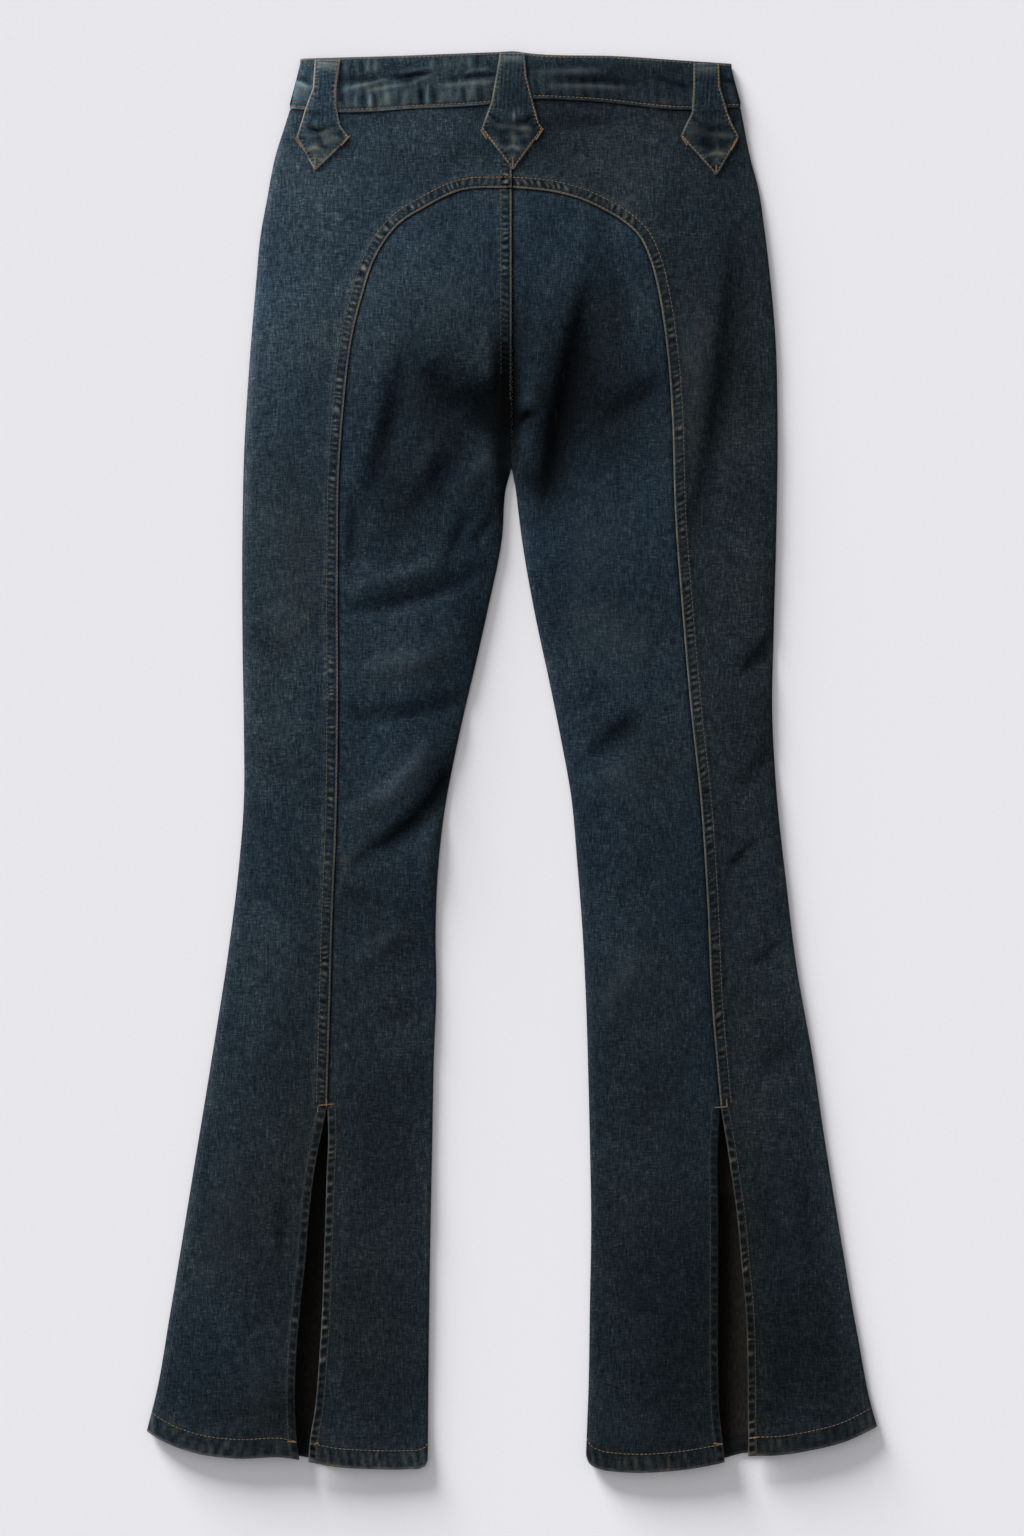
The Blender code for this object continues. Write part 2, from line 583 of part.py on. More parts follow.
def waistband_front(side, finish):
    """Half of the front of the waistband. The left half's end laps past the centre front."""
    sign = -1 if side == "left" else 1
    half_width = abs(OUTER_EDGE["right"]["x"][0])
    lap = LAP_END - SEAM_GAP / 2 if side == "left" else LAP_END + SEAM_GAP / 2
    spread = np.linspace(lap / half_width, sign * BAND_SHARE, FRONT_BAND_COLUMNS)

    def face(inner_face):
        edge = fold_columns(BAND_THICKNESS)[1 if inner_face else 0]
        ends = {len(spread) + 3 - column: distance for column, distance in enumerate(edge)}
        points = band_grid(np.concatenate([spread, [sign] * len(FOLD_STEPS)]), ends, True)
        points[:, 0, 0] = lap
        outside, inside = front_wall(points[:, :, 0], points[:, :, 1], BAND_THICKNESS)
        return np.dstack([points, inside if inner_face else outside])

    shell(f"waistband_front_{side}", face(False), face(True), finish)


def surface_top(x, down):
    """The height of what a belt loop lies on: the waistband, then the panel below it, eased together."""
    band = back_wall(x, down, BAND_THICKNESS, space=np.full(np.shape(x), BAND_ROOM))[0]
    panel = back_wall(x, down)[0]
    share = ease(-down, -waist_down(x) - 6, -waist_down(x))
    return np.maximum(band * share + panel * (1 - share), panel)


def belt_loop(name, finish):
    """A strip sewn at the top of the waistband and by its arrow-shaped tab, made from the points of what it
    lies on, moved out."""
    rows = LOOPS[name]
    tips = rows["down"]
    downs = np.unique(np.concatenate([np.linspace(tips[0], tips[-3], 9), np.linspace(tips[-3], tips[-1], 5)]))
    left = np.interp(downs, tips, rows["left"])
    right = np.interp(downs, tips, rows["right"])
    shares = np.array([0, 0.12, 0.5, 0.88, 1.0])
    x = left[:, None] + (right - left)[:, None] * shares[None, :]
    down = np.repeat(downs[:, None], len(shares), axis=1)
    middle = np.clip((down - tips[0]) / (waist_down(x) - tips[0]), 0, 1)
    base = surface_top(x, down) + LOOP_GAP + LOOP_BOW * np.sin(np.pi * middle)
    points = np.dstack([x, down])
    shell(f"belt_loop_{name}", np.dstack([points, base + LOOP_THICKNESS]), np.dstack([points, base]), finish)


def button(finish):
    """The shank button's cap, on which the front waistband rests at the centre."""
    work = bmesh.new()
    bmesh.ops.create_cone(
        work, cap_ends=True, segments=24, depth=BUTTON_HEIGHT / 1000,
        radius1=BUTTON_RADIUS / 1000, radius2=BUTTON_RADIUS / 1000,
    )
    bmesh.ops.bevel(
        work, geom=[edge for edge in work.edges if len(edge.link_faces) == 2 and edge.calc_face_angle() > 1],
        offset=0.0004, segments=1, affect="EDGES",
    )
    mesh = bpy.data.meshes.new("button")
    work.to_mesh(mesh)
    work.free()
    mesh.materials.append(finish)
    made = bpy.data.objects.new("button", mesh)
    made.location = (BUTTON_X / 1000, (LENGTH / 2 - BUTTON_DOWN) / 1000, BUTTON_HEIGHT / 2000)
    bpy.context.collection.objects.link(made)


def main():
    for made in list(bpy.data.objects):
        bpy.data.objects.remove(made)
    denim = material("denim", (0.020, 0.037, 0.050), 0.9)
    band_denim = material("waistband_denim", (0.024, 0.040, 0.052), 0.9)
    loop_denim = material("loop_denim", (0.026, 0.044, 0.058), 0.9)
    brass = material("antique_brass", (0.30, 0.20, 0.10), 0.4, 1.0)
    for side in ("left", "right"):
        side_panel(side, denim)
        inner_panel(side, denim)
        front_panel(side, denim)
        waistband_front(side, band_denim)
    waistband_back(band_denim)
    for name in LOOPS:
        belt_loop(name, loop_denim)
    button(brass)


main()
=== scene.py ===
"""The looks of the bootcut jeans, which lie flat with the back up.

Sizes are in millimetres and become metres as a mesh is made. Each point of the garment has two measures on
the surface that it lies on: x runs across, from the wearer's left (minus) to right (plus), and down is the
distance below the top of the waistband. Heights are above that surface.

Every panel is a thin closed shell on its solid's form: an outer face on a fine grid, an inner face on every
second point of it, and a rim. Folds, puckers, seams and turned edges are heights added to the grid. Four
values go with each point: wear (how pale it is rubbed), shade (how much darker it is: partly dye kept in
seams and hollows, partly painted shade in folds, creases, beside laps and inside the slits), a brightness
(painted light and shade in broad soft patches, with a little random unevenness of the dye's tone) and
warmth (how brown the cast of its dye is).
"""

import json

import bpy
import numpy as np
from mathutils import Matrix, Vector

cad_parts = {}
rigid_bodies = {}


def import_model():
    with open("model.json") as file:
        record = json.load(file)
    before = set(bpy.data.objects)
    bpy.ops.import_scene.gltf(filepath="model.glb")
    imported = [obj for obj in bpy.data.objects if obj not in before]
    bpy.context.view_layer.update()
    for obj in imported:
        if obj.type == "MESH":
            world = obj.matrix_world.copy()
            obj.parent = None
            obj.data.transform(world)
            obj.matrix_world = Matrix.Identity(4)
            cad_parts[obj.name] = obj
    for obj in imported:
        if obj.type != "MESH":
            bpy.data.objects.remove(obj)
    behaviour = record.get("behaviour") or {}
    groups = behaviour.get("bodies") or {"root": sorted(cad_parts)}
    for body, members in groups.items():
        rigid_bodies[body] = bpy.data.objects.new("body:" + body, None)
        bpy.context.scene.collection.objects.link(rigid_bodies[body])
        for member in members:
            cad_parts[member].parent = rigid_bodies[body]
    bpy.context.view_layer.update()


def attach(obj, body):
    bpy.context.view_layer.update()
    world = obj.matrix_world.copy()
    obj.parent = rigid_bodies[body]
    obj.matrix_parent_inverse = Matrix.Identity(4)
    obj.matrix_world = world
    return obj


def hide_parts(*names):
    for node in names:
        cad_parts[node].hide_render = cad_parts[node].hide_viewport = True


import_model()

# ---- Driving dimensions, as in the solids ----

LENGTH = 1107.5  # from the top of the waistband to the lowest point of the hems
DENIM = 1.2  # one layer of cloth
BAND_THICKNESS = 2.4  # the waistband: two layers and their turnings
SEAM_GAP = 0.3  # between two pieces at a seam
LAP_RISE = 0.9
HEM_WIDTH = 14.0
HEM_RISE = 0.9  # what the turned-in cloth adds to a wall in a hem
TURN_WIDTH = 6.0  # the turned edges of the hem slits
TURN_RISE = 0.7
FOLD_RADIUS = 3.6  # how far in from the outline a wall turns over at a side seam
ROOM_LEAST = 0.5  # between the front's wall and the back's
SIDE_ROOM = 2.0
EDGE_RISE, EDGE_REACH = 1.6, 8.0  # what a leg gains as it curves in from the outline, and how soon
HIPS_END = (120.0, 310.0)  # down, where the fullness of the hips becomes that of each leg
SEAM_RAISE = 0.9  # the seam between front and back lies this far above the front's inner face
BAND_REACH = 45.0  # a little more than the height of the front's waistband
BAND_EASE, HEM_EASE = 12.0, 18.0  # the lengths over which the back rises onto the waistband and the hem
BAND_ROOM = 1.1
BAND_FADE = 34.0  # the length over which the back comes down off the front's waistband
SEAT_END = 287.0  # down to the crotch, where the centre back seam ends
LEGS_PART = 324.0  # down to where a gap opens between the legs
PARTING_EASE, PARTING_LENGTH = 0.8, 20.0  # the gap starts this much narrower, and over this length
CROTCH_ABOVE, CROTCH_BELOW = 20.0, 25.0  # round the crotch, where the inseam's fold begins
FRONT_DIP = 18.0  # how much lower the front rise is than the back rise, at the centre
DIP_REACH = 170.0  # from the centre to where that ends
FRONT_HEM_LIFT = 2.0  # how much higher the front's hem ends than the back's
LOOP_THICKNESS = 1.8
LOOP_GAP = 0.5
LOOP_BOW = 0.7  # a loop stands off the waistband by this much, for the belt
BUTTON_RADIUS, BUTTON_HEIGHT = 8.5, 2.2
BUTTON_X, BUTTON_DOWN = 2.0, 43.0
BUTTON_REACH = 48.0  # how far round the button the cloth is lifted by it
LAP_END = 12.0  # where the left end of the front waistband ends, past the centre front

# ---- Sizes of the looks ----

STEP = 1.35  # between the rows of a grid, along a seam
SEAM_ROWS = (1.2, 8.4)  # the two rows of stitches of a lapped seam, in from its edge
LAP_BAND = (1.7, 2.6, 6.4, 9.2)  # in from there, where the dark band starts, is full, thins and ends
LAP_FALL = (8.6, 12.0)  # and where the cloth comes down off the lap
SLIT_ROW = 6.2  # the row of stitches along a slit's turned edge
TURN_BAND = (0.5, 1.1, 4.2, 6.0)  # as LAP_BAND, for a slit's turned edge
HEM_ROW = 14.6
BAND_ROWS = (1.7, 2.3)  # the waistband's rows, in from its top and from its bottom edge
LOOP_ROW = 1.25
OUTSEAM_ROW, OUTSEAM_START = 5.5, 745.0  # a row beside the left leg's side seam, and where it starts
ROPING_PITCH = 5.0  # between the puckers that the stitches draw up along a lapped seam
LADDER_PITCH = 7.4  # between the puckers of a slit's turned edge
HEM_PITCH = 7.0
BAND_PITCH, STRIPE_PITCH = 8.6, 9.5  # between the waistband's slanting puckers, and its upright streaks
LOOP_PITCH = 3.6
STITCH_PITCH, STITCH_LENGTH, STITCH_WIDTH, STITCH_THICKNESS = 3.3, 2.7, 0.68, 0.42

# Rows of stitches: the thread's width, and its tone, from 0, overdyed as dark as the cloth, to 1, orange.
HEM_THREAD = {"tone": 0.54, "width": 0.62}
FRONT_HEM_THREAD = {"tone": 0.6, "width": 0.62}
OUTSEAM_THREAD = {"tone": 0.05, "width": 0.45}
BAND_THREAD = {"tone": 0.68, "width": 0.62}
LOOP_THREAD = {"tone": 0.7, "width": 0.75, "pitch": 2.9}
LAP_THREAD, SLIT_THREAD, CENTRE_THREAD = 0.58, 0.4, 0.55  # widths, where the tone changes along the row
BAND_WARMTH, FRONT_BAND_WARMTH, LOOP_WARMTH = 0.42, 0.48, 0.35  # how brown the dye's cast is


def table(columns, *rows):
    """A dictionary with one array for each named column."""
    return dict(zip(columns.split(), np.array(rows, float).T))


# ---- The cut, as it lies ----

WAIST_TOP = table(
    "x down", (-165, 6), (-87.5, 3.5), (-9.5, 0.5), (1, 0), (12.5, 1.5), (84, 4), (141, 8), (171, 10)
)
WAIST_SEAM = table(
    "x down", (-173, 45), (-132, 48), (-74, 45), (-16.5, 42), (17, 38), (57.5, 39), (138, 46), (178, 44)
)
JUNCTION_DOWN = 107.5  # where the arched seams leave the centre back seam

OUTER_EDGE = {
    "left": table(
        "down x",
        (6, -165), (45, -173), (84, -185), (115.5, -191), (143.5, -196), (181, -199.5), (248, -205),
        (318, -209), (362, -210), (466.5, -210), (527.5, -209), (583.5, -209), (639.5, -213.3),
        (699.5, -220.8), (786, -234.2), (869.5, -247.8), (984.5, -266.6), (1047.5, -277.5),
        (1075.5, -284.5),
    ),
    "right": table(
        "down x",
        (10, 171), (44, 178), (84, 186), (107, 192), (136.5, 196.5), (174, 201), (226, 205.5), (283, 207),
        (376.5, 206), (451, 204), (513, 202.8), (572.5, 205.8), (654.5, 214.5), (706.5, 220.8),
        (786, 234.6), (850, 244), (925, 256.3), (1000, 269.2), (1064, 282.2), (1071.5, 284.5),
    ),
}
INNER_EDGE = {
    "left": table(
        "down x",
        (LEGS_PART, -1), (339.5, -4.5), (380.5, -7.8), (433, -18.3), (473.5, -27.3), (517, -37.5),
        (543, -43.2), (598.5, -53.4), (639.5, -57.6), (685, -59.4), (729.5, -58.8), (786, -60.8),
        (848.5, -62), (953, -64), (1036.5, -65), (1100.5, -65.5),
    ),
    "right": table(
        "down x",
        (LEGS_PART, 0.5), (339.5, 2.5), (380.5, 7.6), (444, 18.8), (488.5, 28.4), (535, 37.8),
        (580.5, 45.9), (632.5, 50.7), (692, 55.2), (739.5, 57.5), (786, 59), (850, 60.5), (914, 61.5),
        (979, 60.5), (1043, 59.5), (1096.5, 57.5),
    ),
}
ARCH = {
    "left": table(
        "x down",
        (0, JUNCTION_DOWN), (-40.5, 110), (-68, 123), (-88, 136), (-100.5, 151.5), (-109.5, 169.5),
        (-115.5, 189), (-123, 218.5), (-127.5, 248), (-130.5, 278.5), (-133.5, 318), (-135, 406.5),
        (-135, 521), (-136.5, 610), (-139, 669), (-141, 739.5), (-143.5, 822),
    ),
    "right": table(
        "x down",
        (0, JUNCTION_DOWN), (30, 110.5), (50.5, 115.5), (70, 124), (86, 133.5), (98.5, 145), (107, 163),
        (113, 185.5), (117.5, 211.5), (121, 241), (124, 284), (126.5, 362), (132, 436), (139.5, 521),
        (146, 580.5), (151.5, 662), (155, 739.5), (162, 822),
    ),
}
SHOULDER = {"left": 0.147, "right": 0.142}  # the share of the arch's length at its shoulder
SLIT = {  # the two edges of a hem slit: the side panel's and the inner panel's
    "left": table(
        "down side inner",
        (822, -143.5, -143.5), (848.5, -149, -143), (869.5, -153, -144), (901, -157, -145),
        (943, -160.5, -146.5), (974, -164, -147.5), (1016.5, -167.5, -150), (1057.5, -168.5, -153.5),
        (1082.5, -167, -157.5), (1098, -165, -158.5),
    ),
    "right": table(
        "down side inner",
        (822, 162, 162), (848.5, 166.5, 160.5), (872, 170, 160), (904, 174.5, 160.5), (947, 178.5, 160.5),
        (979, 181.5, 160.5), (1022, 183, 160.5), (1064, 183.3, 162), (1081, 183.5, 164),
        (1096, 183.5, 165.5),
    ),
}
SLIT_TOP = 822.0
HEM = {
    "left": table(
        "x down",
        (-284.5, 1075), (-273, 1081.6), (-245.5, 1091.6), (-214.5, 1095.5), (-177, 1094.8), (-158, 1098),
        (-141, 1101.5), (-110, 1103.8), (-80, 1104), (-70, 1103), (-67, 1101), (-65.5, 1097.5),
    ),
    "right": table(
        "x down",
        (57.5, 1093.5), (59, 1098), (62, 1101.3), (68, 1104), (84, 1106.2), (123, 1105.4), (157.5, 1100.2),
        (183.5, 1093.7), (204.5, 1093.2), (230, 1089.7), (262, 1081.6), (284.5, 1071.2),
    ),
}
LOOPS = {  # each runs from the top of the waistband to the tip of its arrow
    "left": table(
        "down left right",
        (7.5, -153.5, -133.5), (29.5, -155, -136.5), (44, -160.5, -136.5), (58.5, -165, -133.5),
        (68, -168, -126.5), (81, -160.5, -139.5), (93, -153.8, -152.2),
    ),
    "centre": table(
        "down left right",
        (2, -9.5, 10), (20.5, -12.5, 11.5), (40, -16, 16.5), (56, -22, 21), (62, -24, 24.5),
        (77.5, -11.5, 12.7), (93, 0, 1.6),
    ),
    "right": table(
        "down left right",
        (10.5, 141, 161.5), (28, 141, 162), (48, 140, 168), (59, 134.5, 172.5), (67, 131, 177),
        (82, 145, 168.5), (97, 158.2, 159.8),
    ),
}

# How far the cloth stands up over the middle of each leg, and the share of the way in where it is fullest.
FULLNESS = {
    "left": table(
        "down peak rise",
        (45, 0.5, 0.8), (110, 0.45, 4.5), (220, 0.4, 8.0), (330, 0.36, 9.5), (480, 0.36, 9.0),
        (620, 0.4, 7.5), (780, 0.42, 6.5), (950, 0.45, 5.4), (1060, 0.5, 3.8), (1108, 0.5, 2.8),
    ),
    "right": table(
        "down peak rise",
        (45, 0.5, 0.8), (110, 0.5, 4.2), (220, 0.52, 7.0), (330, 0.55, 7.5), (480, 0.55, 7.5),
        (620, 0.5, 7.0), (780, 0.5, 6.0), (950, 0.5, 5.2), (1060, 0.5, 3.8), (1108, 0.5, 2.8),
    ),
}

# The folds of the back: each is a soft trough (rise below 0) or ridge along a line that may bend. A skew
# above 0 makes the wall on the line's right, as it runs, the gentler one.
FOLDS = table(
    "x0 down0 x1 down1 bend width skew rise",
    # below the waistband
    (20, 59, 86, 54, 3, 7, 0.3, -2.2), (28, 48, 100, 50, 0, 4, 0, 0.8), (-99, 52, -54, 49, 0, 4, 0, 0.6),
    (-46, 79, -26, 91, 0, 9, 0, -1.3),
    # the pocket between the thighs, up into the seat
    (-8, 225, -6, 322, 0, 8, 0.6, -8.0), (-24, 258, -6, 300, 0, 12, 0, -5.0),
    (4, 195, 4, 290, 0, 3.5, 0.5, -1.6), (15, 256, 13, 276, 0, 7, 0, 3.0),
    (3, 289, 16, 283, 0, 3.0, 0, -4.5),
    # the left seat and thigh
    (-84, 240, -110, 345, 0, 8, 0.5, -5.0), (-66, 244, -40, 284, 0, 13, 0, -4.4),
    (-40, 262, -8, 304, 0, 14, 0, -3.8), (-60, 300, -70, 350, 0, 8, 0.2, 2.2),
    (-15, 313, -40, 347, 0, 8, 0, 2.0), (-49, 314, -77, 361, 0, 9, 0.3, -3.6),
    (-34, 362, -49, 402, 2, 5, 0.3, -2.8), (-15, 363, -30, 385, 0, 4, 0, -2.2),
    (-122, 350, -125, 409, 0, 6, 0.4, -3.2), (-128, 437, -24, 406, 6, 7, 0.3, -4.0),
    (-122, 416, -50, 396, 4, 7, 0, 2.2), (-180, 90, -192, 150, 0, 9, 0, -1.2),
    (-199, 225, -207, 400, 0, 6, 0, 0.8), (-170, 330, -172, 480, 0, 22, 0, 1.4),
    # the right hip, seat and thigh
    (60, 178, 27, 352, 4, 9.5, 0.9, -7.6), (70, 120, 88, 235, 0, 12, 0, -2.6),
    (69, 292, 118, 258, 0, 10, 0, -3.4), (174, 148, 142, 374, -5, 9, 0.5, -4.6),
    (150, 200, 132, 330, 0, 14, 0, 2.2), (60, 330, 66, 420, 0, 20, 0, 1.6),
    # behind the left knee
    (-116, 482, -50, 468, 3, 11, 0, 2.7), (-124, 520, -34, 505, 4, 8, 0.2, -3.6),
    (-62, 536, -118, 590, -8, 9, 0.2, 3.4), (-34, 534, -110, 624, -9, 7.5, 0.6, -7.6),
    (-132, 657, -108, 664, 0, 8, 0, -1.6), (-60, 585, -66, 650, 0, 7, 0, 1.8),
    (-124, 712, -82, 684, 0, 8, 0, 1.8), (-205, 455, -168, 482, 0, 11, 0.2, -2.4),
    (-206, 545, -165, 570, 0, 13, 0, -1.8),
    # behind the right knee, and in from the outer edge
    (78, 494, 48, 516, 0, 7, 0.3, -1.4), (100, 518, 62, 550, 0, 8, 0.3, -3.4),
    (40, 440, 110, 470, 0, 18, 0, 2.2), (100, 560, 48, 575, 0, 12, 0, 1.8),
    (207, 455, 180, 486, 0, 7, 0.3, -4.0), (206, 540, 176, 580, 0, 10, 0.3, -2.2),
    (189, 618, 169, 640, 2, 4, 0.3, -2.2), (112, 632, 84, 664, 0, 11, 0.2, -1.4),
    # the left flare
    (-100, 760, -70, 745, 0, 12, 0, -1.6), (-177, 892, -178, 938, 0, 5, 0.3, -2.6),
    (-210, 850, -232, 960, 0, 16, 0, 1.6), (-196, 1020, -190, 1075, 0, 9, 0, 1.4),
    (-110, 880, -116, 1000, 0, 15, 0, -1.4),
    # the right flare
    (207, 697, 190, 714, 0, 5, 0.2, -1.8), (70, 760, 100, 700, 0, 16, 0, 1.8),
    (100, 845, 128, 800, 0, 15, 0, -1.6), (196, 800, 224, 770, 0, 10, 0, -2.0),
    (214, 880, 226, 960, 0, 9, 0, 1.4), (96, 905, 108, 1040, 0, 14, 0.2, -0.8),
    (228, 880, 250, 1000, 0, 16, 0, -1.4),
)

# The creases of the waistband's back.
BAND_CREASES = table(
    "x0 down0 x1 down1 bend width skew rise",
    # the left end, outside the loop
    (-170, 19, -157, 25, 0, 2.0, 0, -0.7), (-169, 24, -156, 30, 0, 2.0, 0, 0.5),
    # the slanting ones of the left half
    (-131, 30.5, -93, 21.5, 0, 1.8, 0, 0.6), (-97, 22, -62, 16.8, 0, 1.8, 0.3, -0.85),
    (-90, 18.5, -60, 13.5, 0, 2.2, 0, 0.35), (-132, 22, -104, 24, 0, 3.2, 0, -0.5),
    (-113, 32, -80, 25.5, 0, 1.6, 0, 0.45), (-80, 25.5, -64, 20, 0, 1.6, 0, 0.5),
    (-92, 25, -70, 22, 0, 2.2, 0, -0.5), (-58, 28, -14, 24.5, 0, 2.0, 0, 0.5),
    (-50, 23, -36, 20.5, 0, 2.2, 0, -0.4), (-37, 20, -10, 19, 0, 1.8, 0, -0.8),
    (-38, 20, -32, 15.5, 0, 1.6, 0, 0.35), (-32, 15.5, -18, 14.5, 0, 1.6, 0, 0.3),
    # the upright puckers below them
    (-122, 35, -121, 45, 0, 1.3, 0, 0.35), (-117, 34, -117, 45, 0, 2.4, 0, -0.4),
    (-110, 33, -109.5, 45, 0, 2.0, 0, 0.6), (-105, 34, -105, 44, 0, 2.2, 0, -0.5),
    (-97, 31, -97, 44, 0, 4.0, 0, 0.35), (-87, 31, -87, 43, 0, 1.8, 0, -0.45),
    (-81, 29, -82, 43, 0, 3.2, 0, 0.4), (-71, 30, -71, 43, 0, 2.6, 0, -0.45),
    (-65.5, 28, -65.5, 42, 0, 1.2, 0, 0.5), (-60, 29, -60, 43, 0, 2.6, 0, -0.5),
    (-53, 30, -53, 42, 0, 3.4, 0, 0.35), (-43, 32, -43, 41, 0, 1.6, 0, 0.35),
    (-38, 31, -38, 41, 0, 2.2, 0, -0.35), (-32, 28, -32, 40, 0, 2.6, 0, 0.5),
    (-24, 29, -24, 40, 0, 2.6, 0, -0.3),
    # and above them
    (-112, 9, -112, 17, 0, 1.8, 0, 0.3), (-106, 9, -106, 17, 0, 1.4, 0, 0.3),
    (-62, 7, -62, 14, 0, 1.8, 0, 0.3), (-33, 6, -33, 14, 0, 2.0, 0, 0.35),
    (-27, 6, -26, 14, 0, 2.4, 0, -0.3),
    # the right half
    (36, 24, 100, 26, -1, 2.6, 0.3, -0.6), (30, 28, 92, 30, -1, 2.6, 0, 0.45),
    (112, 22, 139, 29, 0, 2.2, 0, -0.6), (22, 17, 69, 16, 0, 2.6, 0, 0.4),
    (164, 22, 176, 26, 0, 2.0, 0, -0.6),
)

# Painted light (above 0) and painted shade (below 0), in soft patches: the amounts are powers of 2.
PAINTED_LIGHT_AND_SHADE = table(
    "x down wide tall amount",
    # the waistband, the loops and just below them
    (-105, 66, 45, 14, 0.4), (-150, 25, 60, 26, 0.45), (85, 25, 90, 30, -0.9), (-109, 26, 20, 13, -0.4),
    (137, 50, 10, 8, -0.25), (161, 43, 7, 12, 0.3), (-141, 66, 14, 12, -0.65), (148, 68, 16, 14, -0.7),
    # the seam between the thighs, and the pocket round it
    (-30, 268, 24, 22, -0.5), (-50, 315, 36, 36, -0.5), (-6, 268, 11, 44, -1.9), (33, 290, 17, 50, -0.9),
    (26, 305, 14, 42, -0.6), (40, 245, 30, 40, -0.3), (48, 285, 22, 50, -0.5), (6, 262, 8, 46, -0.7),
    (12, 283, 6, 3.6, -2.0), (14, 271, 8, 6, 0.6), (8, 305, 4, 10, 0.5), (-8, 282, 8, 18, -1.5),
    (-8, 350, 10, 26, -0.8), (20, 335, 14, 26, -0.6), (-19, 238, 8, 16, 0.5), (-6, 330, 5, 28, -1.7),
    (-30, 285, 9, 14, -0.35), (-45, 308, 9, 14, -0.35), (-58, 335, 9, 16, -0.35), (-19, 322, 6, 14, 0.35),
    (9, 275, 6, 5, 0.7), (12, 298, 7, 9, 0.45), (27, 306, 9, 42, -0.8), (16, 333, 13, 11, -1.1),
    (59, 245, 14, 42, -0.45), (11, 214, 6, 24, -0.5), (7, 286, 8, 9, -0.5), (-31, 270, 14, 14, -0.35),
    (-5, 352, 8, 26, -0.7), (56, 360, 28, 26, -0.35),
    # the left hip, seat and thigh
    (-185, 120, 70, 130, 0.6), (-202, 180, 22, 160, 0.3), (-100, 150, 75, 90, 0.22),
    (-100, 170, 45, 60, 0.2), (-172, 345, 24, 60, -0.35), (-160, 285, 34, 26, 0.15),
    (-72, 272, 34, 22, -0.6), (-98, 343, 22, 40, -0.35), (-98, 385, 20, 36, -0.35),
    (-62, 295, 24, 24, -0.3), (-80, 335, 34, 40, -0.4), (-165, 160, 34, 90, 0.16),
    (-145, 204, 22, 22, -0.2), (-112, 112, 50, 46, 0.12), (-73, 365, 9, 16, -0.3), (-82, 287, 9, 22, 0.2),
    (-70, 185, 60, 60, 0.12), (-96, 355, 16, 36, -0.35), (-109, 300, 8, 40, 0.2), (-181, 277, 14, 22, 0.2),
    (-187, 100, 26, 36, 0.25),
    # the right hip, seat and thigh
    (130, 110, 50, 70, 0.15), (72, 270, 34, 36, -0.8), (72, 315, 28, 30, -0.5), (84, 212, 10, 30, -0.35),
    (105, 350, 30, 40, 0.25), (172, 240, 18, 90, -0.5), (102, 270, 9, 14, -0.3), (84, 300, 10, 14, -0.35),
    (131, 373, 14, 22, -0.2), (60, 140, 60, 50, 0.1), (124, 247, 16, 34, -0.3), (149, 379, 16, 30, -0.25),
    (113, 343, 16, 40, 0.2), (184, 235, 8, 50, -0.35),
    # the left knee
    (-27, 460, 10, 34, -0.5), (-100, 540, 34, 130, 0.25), (-62, 640, 9, 50, -0.5), (-57, 564, 10, 18, -0.6),
    (-25, 478, 6, 22, -0.4), (-54, 600, 7, 34, -0.3), (-100, 545, 34, 60, 0.12), (-165, 575, 40, 60, 0.14),
    (-79, 649, 20, 22, 0.35), (-139, 480, 10, 110, 0.25), (-187, 475, 16, 24, -0.25),
    # the right knee
    (35, 440, 12, 60, -0.3), (100, 468, 24, 30, 0.25), (84, 522, 18, 12, -0.4), (95, 585, 32, 26, 0.25),
    (100, 690, 30, 60, 0.15), (190, 670, 20, 90, 0.3), (77, 433, 18, 14, -0.3), (65, 523, 16, 16, -0.3),
    (205, 440, 5, 30, -0.5), (203, 510, 5, 26, -0.3), (205, 588, 5, 28, -0.3), (80, 534, 14, 10, -0.35),
    (198, 525, 10, 40, -0.3), (198, 430, 12, 50, -0.35),
    # the left flare, its slit and hem
    (-185, 880, 32, 110, -0.3), (-205, 985, 50, 90, -0.2), (-223, 990, 11, 42, 0.3),
    (-178, 1056, 24, 28, -1.0), (-85, 950, 25, 60, 0.2), (-200, 1063, 24, 16, -0.4),
    (-70, 1040, 8, 60, -0.35), (-78, 780, 16, 100, -0.15), (-205, 1082, 16, 10, -0.4),
    (-157, 1057, 7, 14, 0.5), (-160, 730, 30, 110, -0.1), (-115, 1000, 26, 45, -0.35),
    (-103, 850, 26, 40, -0.25),
    # the right flare, its slit and hem
    (165, 985, 50, 110, -0.5), (124, 1036, 24, 46, -0.7), (92, 960, 38, 110, -0.25),
    (94, 1003, 14, 30, 0.35), (150, 985, 22, 100, -0.4), (240, 1030, 40, 60, -0.6),
    (100, 1090, 60, 9, -0.8), (272, 1044, 8, 24, -0.3), (101, 972, 24, 60, 0.15), (62, 884, 5, 24, 0.25),
    (90, 920, 28, 60, -0.25), (158, 865, 14, 30, 0.25), (161, 715, 16, 60, -0.2),
)

# Where the dye has a browner cast (above 0) or a bluer one than its panel.
CASTS = table(
    "x down wide tall amount",
    # the seat and thighs
    (-60, 215, 62, 90, 0.3), (65, 215, 52, 90, 0.25), (15, 285, 24, 50, -0.2), (180, 220, 22, 120, 0.15),
    # the left leg
    (-118, 600, 36, 170, 0.15), (-150, 830, 30, 200, 0.15), (-100, 970, 62, 230, 0.58),
    (-175, 980, 40, 200, 0.2),
    # the right leg, with both sides of its slit
    (110, 560, 40, 200, 0.2), (92, 970, 62, 250, 0.52), (152, 1060, 30, 150, 0.25),
    (156, 960, 9, 130, 0.35), (187, 960, 9, 140, 0.4), (176, 620, 36, 260, 0.1), (180, 1000, 22, 160, 0.2),
)


# ---- Curves ----


